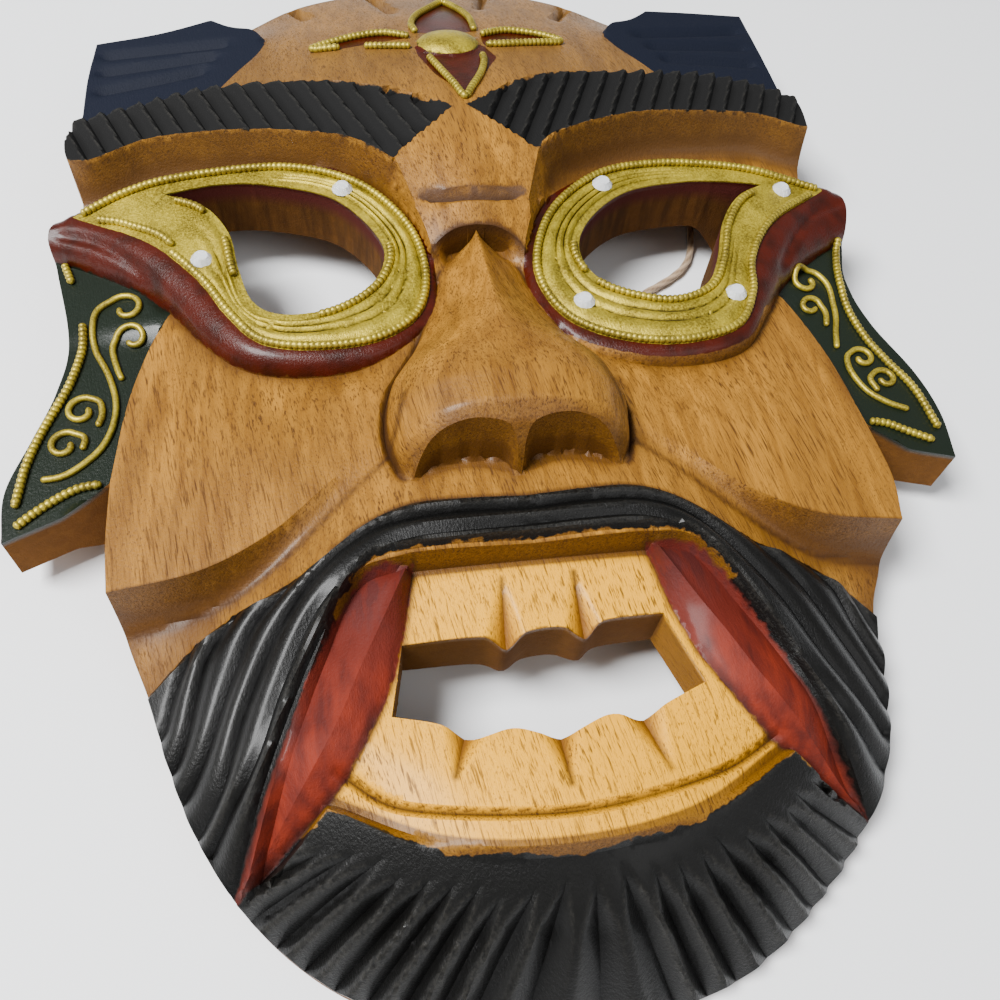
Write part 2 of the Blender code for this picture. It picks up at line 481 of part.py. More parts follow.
def relief(x, y):
    """The height of the carved face over each point of the drawing."""
    ax = np.abs(x)

    # Cheeks, with the muzzle cut down below their lower edges
    h = CHEEK_HEIGHT(x, y)
    d = inside(x, y, muzzle_loop())
    muzzle = MUZZLE_HEIGHT(x, y)
    cheek_wall = np.clip(d / CHEEK_WALL_WIDTH, 0, 1)
    h = np.where(d > 0, h + (muzzle - h) * (1 - (1 - cheek_wall) ** 1.8), h)

    # Ears, lower than the cheeks
    for loop in ear_loops():
        h += (EAR_HEIGHT - h) * np.clip(inside(x, y, loop) / WALL_WIDTH, 0, 1)

    # Eye sockets, with a cove up to the brows and the bridge
    forehead = forehead_loop()
    brow_loops = [brow_loop(brow) for brow in BROWS.values()]
    in_forehead = inside(x, y, forehead)
    in_brow = np.maximum(*[inside(x, y, loop) for loop in brow_loops])
    brow_top = BROW_HEIGHT - BROW_FALL * ax
    socket = SOCKET_HEIGHT(x, y)
    up = np.clip(1 + np.maximum(in_forehead, in_brow) / COVE_WIDTH, 0, 1) ** 2.0
    top = np.where(ax > 17, brow_top, FOREHEAD_HEIGHT(x, y))
    in_socket = ramp(y, 9, 15) * ramp(ax, 6, 9)
    h += (socket + (top - socket) * up - h) * in_socket
    under_panel = np.clip(1 + in_forehead / WALL_WIDTH, 0, 1) * (ax < 13) * (y > 15)
    h += (FOREHEAD_HEIGHT(x, y) - h) * under_panel

    # Forehead, bridge of the nose and crown
    h = np.where(in_forehead > 0, FOREHEAD_HEIGHT(x, y), h)
    h = carve(h, x, y, FROWN_LINES, FROWN_DEPTH, FROWN_HALF_WIDTH)
    h = carve(h, x, y, CROWN_CUTS, CROWN_CUT_DEPTH, CROWN_CUT_HALF_WIDTH)
    bx, by = BOSS_CENTRE
    from_boss = np.hypot((x - bx) / BOSS_SIZE[0], (y - by) / BOSS_SIZE[1])
    h += BOSS_RISE * np.sqrt(np.clip(1 - from_boss ** 2, 0, 1))

    # Blue wings and black brows
    for side, loop in zip(("right", "left"), wing_loops()):
        d = inside(x, y, loop)
        wing = WING_HEIGHT - 0.10 * (ax - 46) - 0.03 * (y - 80)
        wing = carve(wing, x, y, wing_grooves(side), WING_CUT_DEPTH, WING_CUT_HALF_WIDTH)
        h += (wing - h) * np.clip(d / WALL_WIDTH, 0, 1) * (in_forehead > 0)
    brow = carve(brow_top, x, y, brow_grooves(), BROW_GROOVE_DEPTH, BROW_GROOVE_HALF_WIDTH)
    diamond = ax < 18
    h = np.where(in_brow > 0, h + (brow - h) * np.clip(in_brow / WALL_WIDTH + diamond, 0, 1), h)

    # Eye bands with the red wall that slopes from them
    for eye in EYES.values():
        band = inside(x, y, outline(eye["band"]))
        wall = inside(x, y, outline(eye["wall"]))
        band_top = BAND_HEIGHT - BAND_TIP_DROP * ramp(ax, 70, 92)
        slope = np.clip(wall / (wall - band + 1e-6), 0, 1)
        roll = np.sqrt(1 - (1 - slope) ** 2)
        h = np.where(wall > 0, h + (band_top - h) * np.where(band > 0, 1, roll), h)

    # Nose
    across = ax / np.interp(-y, [-v for v, _ in NOSE_HALF_WIDTH], [w for _, w in NOSE_HALF_WIDTH])
    ridge = np.interp(-y, [-v for v, _ in RIDGE_HEIGHT], [z for _, z in RIDGE_HEIGHT])
    full = ramp(-y, -8, 22)
    roof = (1 - across.clip(0, 1)) ** 1.1
    bulb = (1 - across.clip(0, 1) ** 2.7) ** 0.62
    in_nose = inside(x, y, nose_loop())
    nose = h + (ridge - h) * (roof * (1 - full) + bulb * full)
    h = np.where(in_nose > 0, np.maximum(h, nose), h)
    arch = np.interp(ax, [p[0] for p in NOSTRIL], [p[1] for p in NOSTRIL])
    under = np.clip((arch - y) / WALL_WIDTH, 0, 1) * (ax > 0.7) * (ax < 20.8) * (y > -42)
    h += (np.minimum(h, NOSTRIL_HEIGHT) - h) * under

    # Moustache and side hair, one raised bed cut into strands
    in_hair = inside(x, y, hair_loop())
    hair = carve(muzzle + HAIR_RISE, x, y, moustache_lines(), HAIR_GROOVE_DEPTH, HAIR_GROOVE_HALF_WIDTH)
    h = np.where(in_hair > 0, h + (hair - h) * np.clip(in_hair / WALL_WIDTH, 0, 1), h)

    # Teeth and lower lip, with the mouth field sunk below the moustache
    in_mouth = inside(x, y, outline(MOUTH_FIELD))
    lip_line, _ = beside(x, y, curve(LIP_GROOVE))
    rise = ramp(-y, 84, 104)
    teeth = TEETH_HEIGHT + 1.5 * rise - 0.0045 * ax ** 2 * (0.4 + rise)
    teeth = teeth - LIP_GROOVE_DEPTH * np.clip(1 - lip_line / LIP_GROOVE_HALF_WIDTH, 0, 1)
    for tip, mouth_end in TOOTH_GAPS:
        d, share = beside(x, y, np.array([tip, mouth_end]))
        teeth = teeth - TOOTH_GAP_DEPTH * share * np.clip(1 - d / (0.6 + TOOTH_GAP_WIDTH * share), 0, 1)
    h = np.where(in_mouth > 0, h + (teeth - h) * np.clip(in_mouth / (1.6 * WALL_WIDTH), 0, 1), h)

    # Beard below the lip, then the fangs over everything
    cut = carve(h, x, y, beard_grooves(), BEARD_GROOVE_DEPTH, BEARD_GROOVE_HALF_WIDTH)
    h = np.where((in_mouth < 0) & (y < -98), cut, h)
    for sign, loop in zip((1, -1), fang_loops()):
        d = inside(x, y, loop)
        keel, share = beside(x, y, curve([(sign * px, py) for px, py in FANG["ridge"]]))
        rise = (1 - 0.45 * share) * FANG_RISE
        fang = muzzle + rise * np.clip(d / (d + keel + 1e-6), 0, 1) ** 0.8
        h += (np.maximum(fang, h) - h) * np.clip(d / FANG_FOOT, 0, 1)
    return h


SAWN_EDGE = outline([CROWN] + RIGHT_SIDE + LEFT_SIDE)
HOLES = [outline(EYES["left"]["hole"]), outline(EYES["right"]["hole"]), outline(MOUTH_HOLE)]


def ear_backs():
    right = np.vstack([curve(EAR_BACK), [(110, -45), (110, 37)]])
    return right, np.array(mirrored(right))


def hollow_edge(further=0.0):
    """The inner edge of the back's rim, or a line some way further in."""
    half = curve(BODY_EDGE)
    loop = np.vstack([half, np.array(mirrored(half[::-1]))[1:-1]])
    return shifted(loop, -(RIM_WIDTH / SCALE_X + further), closed=True)


def hollow(x, y):
    """The height of the back: flat on the rim, raised under the ears, hollow inside."""
    ceiling = HOLLOW_DEPTH / SCALE_Z
    pocket = NOSE_POCKET / SCALE_Z * np.exp(-(x / 13) ** 2 - ((y + 14) / 22) ** 2)
    depth = (ceiling + pocket) * ramp(inside(x, y, hollow_edge()), 0, HOLLOW_SLOPE)
    for loop in ear_backs():
        ear = np.clip(inside(x, y, loop) / WALL_WIDTH, 0, 1)
        depth += (EAR_UNDERSIDE / SCALE_Z - depth) * ear
    return depth


def shifted(line, distance, closed=False):
    """The same line moved sideways, to the left of its run."""
    p = np.array(line, float)
    if closed:
        run = np.roll(p, -1, axis=0) - np.roll(p, 1, axis=0)
    else:
        run = np.gradient(p, axis=0)
    run /= np.linalg.norm(run, axis=1)[:, None] + 1e-9
    return p + distance * np.stack([-run[:, 1], run[:, 0]], axis=1)


def midways(cuts):
    """The crests that stand between neighbouring cuts."""
    crests = []
    for a, b in zip(cuts[:-1], cuts[1:]):
        if np.linalg.norm(a[0] - b[0]) < 12 and len(a) == len(b):
            crests.append(0.5 * (a + b))
    return crests


def carving_lines():
    """Open lines and closed loops that the mask's facets follow."""
    lines = []
    loops = []
    for side in (1, -1):
        turn = np.array([side, 1])
        edge = curve(CHEEK_EDGE)
        lines += [turn * edge, turn * shifted(edge, CHEEK_WALL_WIDTH * 0.4),
                  turn * shifted(edge, CHEEK_WALL_WIDTH)]
        cheek_side = curve(CHEEK_SIDE)
        lines += [turn * cheek_side, turn * shifted(cheek_side, WALL_WIDTH)]
        bridge = np.array([(17, 45.5), (13.2, 34), (13, 19.5)] + list(map(tuple, curve(BRIDGE_FOOT)[1:])))
        lines += [turn * bridge, turn * shifted(bridge[:4], 3.0)]
        lines.append(turn * shifted(curve(BRIDGE_FOOT), WALL_WIDTH))
        wing = curve(WING)
        lines += [turn * wing, turn * shifted(wing, -WALL_WIDTH)]
        nose = curve(NOSE_SIDE)
        lines.append(turn * nose)
        for share in (0.4, 0.75):
            lines.append(turn * curve([(share * w, v) for v, w in NOSE_HALF_WIDTH[1:-2]]))
        arch = curve(NOSTRIL, 3.0)
        lines += [turn * arch, turn * shifted(arch, -WALL_WIDTH)]
        top = curve(HAIR_TOP)
        foot = curve(HAIR_FOOT)
        lines += [turn * top, turn * shifted(top, -WALL_WIDTH), turn * foot]
        lines.append(turn * curve(FANG["ridge"]))
        loops.append(turn * outline(FANG["edge"]))
    for side, brow in BROWS.items():
        foot = curve(brow["foot"])
        lines.append(curve(brow["top"]))
        down = -1 if side == "right" else 1
        lines += [foot, shifted(foot, down * 2.0), shifted(foot, down * COVE_WIDTH)]
        lines += wing_grooves(side)
    cuts = brow_grooves()
    lines += cuts + midways(cuts)
    lines += [curve([(0, v) for v, _ in RIDGE_HEIGHT])]
    for cut in FROWN_LINES + CROWN_CUTS:
        lines += [np.array(cut), shifted(cut, 1.6), shifted(cut, -1.6)]
    strands = moustache_lines()
    lines += [cut[::2] if len(cut) > 20 else cut for cut in strands]
    beard = beard_grooves()
    lines += beard + midways(beard)
    groove = curve(LIP_GROOVE)
    lines += [groove, shifted(groove, 1.3), shifted(groove, -1.3)]
    field = outline(MOUTH_FIELD)
    loops += [field, shifted(field, -1.6 * WALL_WIDTH, closed=True)]
    for start, end in TOOTH_GAPS:
        reach = 0.5 * (TOOTH_GAP_WIDTH + TOOTH_GAP_DEPTH)
        lines += [np.array([(end[0] - reach, end[1]), start, (end[0] + reach, end[1])]), np.array([start, end])]
    turns = np.linspace(0, 2 * np.pi, 12, endpoint=False)
    ring = np.stack([np.cos(turns), np.sin(turns)], axis=1) * BOSS_SIZE
    loops += [ring + BOSS_CENTRE, 0.72 * ring + BOSS_CENTRE]
    for eye in EYES.values():
        loops += [outline(eye["band"]), outline(eye["wall"])]
    return lines, loops


def strung(lines, loops):
    """Points and edges of open lines and closed loops."""
    points = []
    edges = []
    for line, closed in [(line, False) for line in lines] + [(loop, True) for loop in loops]:
        first = len(points)
        points += [tuple(p) for p in line]
        edges += [(k, k + 1) for k in range(first, len(points) - 1)]
        if closed:
            edges.append((len(points) - 1, first))
    return points, edges


def loose_points(fixed, step, clear):
    """Points in staggered rows, clear of the given ones."""
    fixed = np.array(fixed)
    points = []
    for row, y in enumerate(np.arange(-DRAWN_LENGTH / 2, DRAWN_LENGTH / 2, 0.87 * step)):
        for x in np.arange(-DRAWN_WIDTH / 2, DRAWN_WIDTH / 2, step) + (row % 2) * step / 2:
            if np.hypot(fixed[:, 0] - x, fixed[:, 1] - y).min() > clear:
                points.append((x, y))
    return points


def triangulated(points, edges, border, merge):
    """Flat triangles on the wood side of the border edges, keeping every given edge."""
    found = geometry.delaunay_2d_cdt([Vector(p) for p in points], edges, [], 0, merge)
    xy = np.array([tuple(v) for v in found[0]])
    faces = [tuple(f) for f in found[2]]
    beyond = {frozenset(edge) for edge, sources in zip(found[1], found[4]) if border.intersection(sources)}
    sharing = {}
    for number, face in enumerate(faces):
        for k in range(3):
            sharing.setdefault(frozenset((face[k], face[k - 1])), []).append(number)
    mx, my = xy[np.array(faces)].mean(axis=1).T
    depth = np.minimum.reduce([inside(mx, my, SAWN_EDGE)] + [-inside(mx, my, hole) for hole in HOLES])
    kept = {int(depth.argmax())}
    waiting = list(kept)
    while waiting:
        face = faces[waiting.pop()]
        for k in range(3):
            side = frozenset((face[k], face[k - 1]))
            if side not in beyond:
                fresh = [n for n in sharing[side] if n not in kept]
                kept.update(fresh)
                waiting += fresh
    return xy, np.array([faces[n] for n in sorted(kept)]), found[3]


def carved_block():
    """The mask's mesh: the carved front, the sawn walls, and the hollowed back."""
    bm = bmesh.new()
    lines, loops = carving_lines()
    _, drawn_edges = strung(lines, loops)
    points, edges = strung(lines, loops + [SAWN_EDGE] + HOLES)
    points += loose_points(points, FILL_STEP, FILL_CLEAR)
    border = set(range(len(drawn_edges), len(edges)))
    xy, faces, _ = triangulated(points, edges, border, MERGE_STEP)
    heights = relief(xy[:, 0], xy[:, 1])
    verts = {k: bm.verts.new((xy[k, 0] * SCALE_X, xy[k, 1] * SCALE_Y, heights[k] * SCALE_Z))
             for k in np.unique(faces)}
    for face in faces:
        bm.faces.new([verts[k] for k in face])

    border = [edge for edge in bm.edges if edge.is_boundary]
    walls = bmesh.ops.extrude_edge_only(bm, edges=border)["geom"]
    foot = [item for item in walls if isinstance(item, bmesh.types.BMVert)]
    order = {vert: k for k, vert in enumerate(foot)}
    foot_edges = [(order[edge.verts[0]], order[edge.verts[1]]) for edge in walls
                  if isinstance(edge, bmesh.types.BMEdge) and all(v in order for v in edge.verts)]
    foot_points = [(v.co.x / SCALE_X, v.co.y / SCALE_Y) for v in foot]

    slope = []
    for share in SLOPE_ROWS:
        row = hollow_edge(share * HOLLOW_SLOPE)
        slope += [tuple(p) for p in (row[::2] if share > 0 else row)]
    under = [tuple(p) for side in (1, -1) for way in (0, WALL_WIDTH)
             for p in np.array([side, 1]) * shifted(curve(EAR_BACK)[4:], way)]
    near = np.array(foot_points)
    extra = [p for p in slope + under if np.hypot(near[:, 0] - p[0], near[:, 1] - p[1]).min() > FOOT_CLEAR]
    points = foot_points + extra
    points += loose_points(points, 1.5 * FILL_STEP, 0.6 * FILL_STEP)
    xy, faces, sources = triangulated(points, foot_edges, set(range(len(foot_edges))), 1e-5)
    heights = hollow(xy[:, 0], xy[:, 1])
    back = {}
    for k in np.unique(faces):
        source = min(sources[k]) if sources[k] else len(points)
        back[k] = foot[source] if source < len(foot) else bm.verts.new(
            (xy[k, 0] * SCALE_X, xy[k, 1] * SCALE_Y, 0))
        back[k].co.z = heights[k] * SCALE_Z
    for face in faces:
        bm.faces.new([back[k] for k in face[::-1]])
    bmesh.ops.triangulate(bm, faces=[face for face in bm.faces if len(face.verts) > 3])
    bmesh.ops.recalc_face_normals(bm, faces=bm.faces)
    return bm


# Objects
def fresh_scene():
    """Empty the scene and make the collections for the mask and its cutters."""
    for old in list(bpy.data.objects):
        bpy.data.objects.remove(old)
    made = {}
    for name in ("demon_mask", "cutters"):
        made[name] = bpy.data.collections.new(name)
        bpy.context.scene.collection.children.link(made[name])
    return made["demon_mask"], made["cutters"]


def plain_material(name, colour, roughness, metallic=0.0):
    material = bpy.data.materials.new(name)
    material.use_nodes = True
    shader = material.node_tree.nodes["Principled BSDF"]
    shader.inputs["Base Color"].default_value = colour
    shader.inputs["Roughness"].default_value = roughness
    shader.inputs["Metallic"].default_value = metallic
    return material


def mesh_object(name, bm, material, collection):
    mesh = bpy.data.meshes.new(name)
    bm.to_mesh(mesh)
    bm.free()
    if material:
        mesh.materials.append(material)
    made = bpy.data.objects.new(name, mesh)
    collection.objects.link(made)
    return made


def tube(name, points, radius, sides, material, collection):
    """A thread or twine of one thickness along world points, its ends filled."""
    shape = bpy.data.curves.new(name, "CURVE")
    shape.dimensions = "3D"
    shape.bevel_depth = radius
    shape.bevel_resolution = (sides - 4) // 2
    shape.use_fill_caps = True
    spline = shape.splines.new("POLY")
    spline.points.add(len(points) - 1)
    for point, co in zip(spline.points, points):
        point.co = (*co, 1)
    shape.materials.append(material)
    made = bpy.data.objects.new(name, shape)
    collection.objects.link(made)
    return made


def laid(surface, line, radius):
    """World points that lay a thread of some radius on the carving, along a drawn line."""
    p = np.array(line, float)
    run = np.gradient(p, axis=0)
    run /= np.linalg.norm(run, axis=1)[:, None]
    half = np.vstack([p[:1], 0.5 * (p[:-1] + p[1:]), p[-1:]])
    points = []
    for k, (x, y) in enumerate(p):
        under = []
        for near in (p[k], half[k], half[k + 1]):
            for way in (-1, 0, 1):
                at = near + way * np.array([-run[k, 1], run[k, 0]]) * radius / SCALE_X
                hit = surface.ray_cast((at[0] * SCALE_X, at[1] * SCALE_Y, 2 * FACE_DEPTH), (0, 0, -1))[0]
                if hit:
                    under.append(hit.z)
        if under:
            points.append((x * SCALE_X, y * SCALE_Y, max(under) + radius + GAP))
    return points


def stretch(loop, start, end):
    """The run of a closed loop between its points nearest to two others, in the loop's order."""
    first, last = (int(np.hypot(*(loop - np.array(p)).T).argmin()) for p in (start, end))
    if last < first:
        last += len(loop)
    return np.array([loop[k % len(loop)] for k in range(first, last + 1)])


def outer_rope(side):
    """The line of the rope round an eye, a radius in from the edge of the gold."""
    band = outline(EYES[side]["band"], 1.0)
    inset = ROPE_DIAMETER / 2 / SCALE_X
    line = shifted(band, -inset if side == "left" else inset, closed=True)
    line = line[inside(line[:, 0], line[:, 1], band) > 0.85 * inset]
    far = int(np.hypot(*(line - np.array(OUTER_ROPE_END[side])).T)[len(line) // 2:].argmin()) + len(line) // 2
    return curve(line[:far:3], ROPE_STEP)


def inner_ropes(side):
    """The lines of the broken rope round an eye hole, a little out from the hole."""
    hole = outline(EYES[side]["hole"], 1.0)
    inset = ROPE_DIAMETER * 0.75 / SCALE_X
    line = shifted(hole, inset if side == "left" else -inset, closed=True)
    return [curve(stretch(line, *ends)[::3], ROPE_STEP) for ends in INNER_ROPES[side]]


def scroll(centre, turn, tail):
    """A line that starts as a curl round its centre and leaves it along its tail."""
    away = np.array(tail[0]) - centre
    angle = math.atan2(away[1], away[0])
    radius = np.hypot(*away)
    share = np.linspace(1, 0, 8, endpoint=False)
    reach = radius + (CURL_END - radius) * share
    turned = angle + turn * share * CURL_TURN
    curl = np.stack([np.cos(turned), np.sin(turned)], axis=1) * reach[:, None] + centre
    return np.vstack([curl, curve(tail, SCROLL_STEP)])


def stone(name, x, y, surface, material, collection):
    """A round glass stone: a low cone with a flat top."""
    bm = bmesh.new()
    bmesh.ops.create_cone(bm, cap_ends=True, segments=8, radius1=STONE_DIAMETER / 2,
                          radius2=STONE_DIAMETER * STONE_TABLE / 2, depth=STONE_HEIGHT)
    top = laid(surface, [(x - 1, y), (x, y), (x + 1, y)], STONE_DIAMETER / 2)[1][2]
    bmesh.ops.translate(bm, verts=bm.verts, vec=(x * SCALE_X, y * SCALE_Y,
                                                top + (STONE_HEIGHT - STONE_DIAMETER) / 2))
    return mesh_object(name, bm, material, collection)


def twine_path():
    """The hanging twine: down out of one drilled hole, across the hollow on the table, up into the other."""
    level = TWINE_DIAMETER / 2 + GAP
    side = TWINE_HOLE_SPACING / 2
    drop = [(TWINE_HOLE_UP, z) for z in np.linspace(TWINE_HOLE_TOP - 2 * GAP, level + TWINE_BEND, 3)]
    for angle in np.linspace(0, math.pi / 2, 4)[1:]:
        drop.append((TWINE_HOLE_UP - TWINE_BEND * (1 - math.cos(angle)),
                     level + TWINE_BEND * (1 - math.sin(angle))))
    route = [(side, y, z) for y, z in drop]
    route += [(x * SCALE_X, y * SCALE_Y, level) for x, y in TWINE_ROUTE]
    route += [(-side, y, z) for y, z in drop[::-1]]
    return curve(route, TWINE_STEP)


def drill(block, x, y, cutters):
    """A blind round hole for the twine's end, up into the ceiling of the hollow."""
    bm = bmesh.new()
    radius = TWINE_DIAMETER / 2 + GAP
    bmesh.ops.create_cone(bm, cap_ends=True, segments=12, radius1=radius, radius2=radius,
                          depth=2 * TWINE_HOLE_TOP)
    bmesh.ops.translate(bm, verts=bm.verts, vec=(x, y, 0))
    cutter = mesh_object("twine_hole", bm, None, cutters)
    cutter.hide_render = True
    cutter.display_type = "WIRE"
    modifier = block.modifiers.new("twine_hole", "BOOLEAN")
    modifier.operation = "DIFFERENCE"
    modifier.solver = "EXACT"
    modifier.object = cutter


collection, cutters = fresh_scene()
wood = plain_material("carved_wood", WOOD, 0.5)
gold = plain_material("gold_paste", GOLD, 0.45)
glass = plain_material("clear_glass", GLASS, 0.1)
natural = plain_material("natural_twine", TWINE, 0.9)

block = carved_block()
carving = BVHTree.FromBMesh(block)
mask = mesh_object("mask", block, wood, collection)
for side in (-1, 1):
    drill(mask, side * TWINE_HOLE_SPACING / 2, TWINE_HOLE_UP, cutters)

ropes = {"rope_sweep_left": curve(SWEEP_ROPE)}
for side in ("left", "right"):
    ropes["rope_outer_" + side] = outer_rope(side)
    for number, line in enumerate(inner_ropes(side), 1):
        ropes[f"rope_inner_{side}_{number}"] = line
    for number, line in enumerate(EAR_ROPES[side], 1):
        ropes[f"rope_ear_{side}_{number}"] = curve(line, ROPE_STEP)
for name, line in DIADEM.items():
    ropes["rope_diadem_" + name] = curve(line, PETAL_STEP)
for name, line in ropes.items():
    tube(name, laid(carving, line, ROPE_DIAMETER / 2), ROPE_DIAMETER / 2, 6, gold, collection)
for side, scrolls in EAR_SCROLLS.items():
    for number, (centre, turn, tail) in enumerate(scrolls, 1):
        points = laid(carving, scroll(centre, turn, tail), FINE_THREAD / 2)
        tube(f"scroll_{side}_{number}", points, FINE_THREAD / 2, 6, gold, collection)
for side, middles in STONES.items():
    for number, (x, y) in enumerate(middles, 1):
        stone(f"stone_{side}_{number}", x, y, carving, glass, collection)
tube("twine", twine_path(), TWINE_DIAMETER / 2, 8, natural, collection)
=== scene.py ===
"""A carved and painted wooden demon mask, lying face up, with gold threads, glass stones and its twine."""
import math

import bmesh
import bpy
import numpy as np
from mathutils import Matrix, Vector, geometry, kdtree
from mathutils.bvhtree import BVHTree


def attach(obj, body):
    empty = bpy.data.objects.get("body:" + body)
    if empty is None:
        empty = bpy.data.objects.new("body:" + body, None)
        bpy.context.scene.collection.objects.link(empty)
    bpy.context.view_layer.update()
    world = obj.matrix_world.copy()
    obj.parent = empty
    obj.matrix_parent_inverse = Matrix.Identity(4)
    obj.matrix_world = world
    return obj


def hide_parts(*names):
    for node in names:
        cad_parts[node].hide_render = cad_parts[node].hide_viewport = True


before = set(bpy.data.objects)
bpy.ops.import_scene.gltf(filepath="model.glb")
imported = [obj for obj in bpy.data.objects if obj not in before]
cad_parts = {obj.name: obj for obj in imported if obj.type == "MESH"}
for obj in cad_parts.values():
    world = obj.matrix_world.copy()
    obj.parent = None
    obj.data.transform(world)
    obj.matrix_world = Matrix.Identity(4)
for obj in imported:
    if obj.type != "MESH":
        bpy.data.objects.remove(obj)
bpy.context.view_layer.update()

# Camera
# Held in the hand over the chin and turned a little, so that the mask stands askew in the picture.
CAMERA_AT = Vector((-0.0315, -0.1411, 0.1959))
CAMERA_TOWARDS = Vector((-0.0029, -0.0381, 0.0200))
CAMERA_ROLL = math.radians(8.49)
CAMERA_LENS = 36.1


def held_camera():
    forward = (CAMERA_TOWARDS - CAMERA_AT).normalized()
    right = forward.cross(Vector((0, 0, 1))).normalized()
    up = right.cross(forward)
    turned_right = math.cos(CAMERA_ROLL) * right + math.sin(CAMERA_ROLL) * up
    turned_up = math.cos(CAMERA_ROLL) * up - math.sin(CAMERA_ROLL) * right
    lens = bpy.data.cameras.new("hand_camera")
    lens.lens = CAMERA_LENS
    lens.sensor_width = 36
    lens.clip_start = 0.005
    made = bpy.data.objects.new("hand_camera", lens)
    bpy.context.scene.collection.objects.link(made)
    made.matrix_world = Matrix.Translation(CAMERA_AT) @ Matrix(
        (turned_right, turned_up, -forward)).transposed().to_4x4()
    return made


bpy.context.scene.camera = held_camera()


# Table and light
# A plain pale table top, lit by a broad ceiling light and by the room round it.
def linked(name, data):
    """An object of some data, put in the scene."""
    made = bpy.data.objects.new(name, data)
    bpy.context.scene.collection.objects.link(made)
    return made


def meshed(name, bm):
    """A mesh made from its working form."""
    mesh = bpy.data.meshes.new(name)
    bm.to_mesh(mesh)
    bm.free()
    return mesh


def add(tree, kind, inputs=None, **settings):
    """A shader node with its settings, and its inputs given as values or as outputs of other nodes."""
    made = tree.nodes.new("ShaderNode" + kind)
    for name, value in settings.items():
        setattr(made, name, value)
    for name, value in (inputs or {}).items():
        if isinstance(value, bpy.types.NodeSocket):
            tree.links.new(value, made.inputs[name])
        else:
            made.inputs[name].default_value = value
    return made


def new_material(name, **values):
    """A material, its tree and its main shader, with the shader's plain values set."""
    made = bpy.data.materials.new(name)
    made.use_nodes = True
    shader = made.node_tree.nodes["Principled BSDF"]
    for key, value in values.items():
        shader.inputs[key.replace("_", " ")].default_value = value
    return made, made.node_tree, shader


def table_and_light():
    bm = bmesh.new()
    bmesh.ops.create_grid(bm, x_segments=1, y_segments=1, size=3)
    bmesh.ops.translate(bm, verts=bm.verts, vec=(0, 0, -0.0002))
    mesh = meshed("table", bm)
    top, _, _ = new_material("pale_table", Base_Color=(0.86, 0.87, 0.88, 1), Roughness=0.55)
    mesh.materials.append(top)
    linked("table", mesh)
    for name, at, size, power in (("ceiling_light", (-0.58, -0.08, 1.05), 0.45, 38.0),
                                  ("window_light", (0.55, -0.75, 0.95), 0.7, 4.0)):
        light = bpy.data.lights.new(name, "AREA")
        light.size = size
        light.energy = power
        lamp = linked(name, light)
        lamp.location = at
        lamp.rotation_euler = (Vector((0, 0, 0)) - Vector(at)).to_track_quat("-Z", "Y").to_euler()
    room = bpy.data.worlds.new("room")
    room.use_nodes = True
    room.node_tree.nodes["Background"].inputs["Color"].default_value = (0.93, 0.96, 1.0, 1)
    room.node_tree.nodes["Background"].inputs["Strength"].default_value = 0.42
    bpy.context.scene.world = room


table_and_light()


# Hanging twine
# A limp loop of natural twine, three plies twisted. It lies in the hollow of the back, and each end goes
# straight up into a drilled hole behind a brow.
TWINE_DIAMETER = 0.0020
TWINE_HOLE_TOP = 0.0170
TWINE_HOLE_OUT = 0.0660
TWINE_HOLE_UP = 0.0640
TWINE_BEND = 0.0050
TWINE_LEVEL = 0.0013
TWINE_CLEAR = 0.0006
TWINE_TURN = 0.0055
TWINE_ROUTE = [(64.2, 49.5), (62.5, 44.3), (59.1, 39.4), (53.5, 35.3), (46.9, 31.5), (30, 20), (8, 11),
               (-15, 8), (-38, 11), (-54, 22), (-63, 37), (-66, 50)]


def curve(points, step=1.0, closed=False):
    """Even points on a rounded curve through a few chosen ones."""
    p = np.array(points, float)
    if closed:
        p = np.vstack([p[-1], p, p[0], p[1]])
    else:
        p = np.vstack([2 * p[0] - p[1], p, 2 * p[-1] - p[-2]])
    fine = []
    for a, b, c, d in zip(p[:-3], p[1:-2], p[2:-1], p[3:]):
        t = np.linspace(0, 1, 16, endpoint=False)[:, None]
        fine.append(0.5 * (2 * b + (c - a) * t + (2 * a - 5 * b + 4 * c - d) * t ** 2
                           + (3 * b - a - 3 * c + d) * t ** 3))
    fine = np.vstack(fine + [p[-2][None]])
    run = np.concatenate([[0], np.cumsum(np.linalg.norm(np.diff(fine, axis=0), axis=1))])
    count = max(2, round(run[-1] / step) + 1)
    at = np.linspace(0, run[-1], count)
    out = np.stack([np.interp(at, run, fine[:, k]) for k in range(p.shape[1])], axis=1)
    return out[:-1] if closed else out


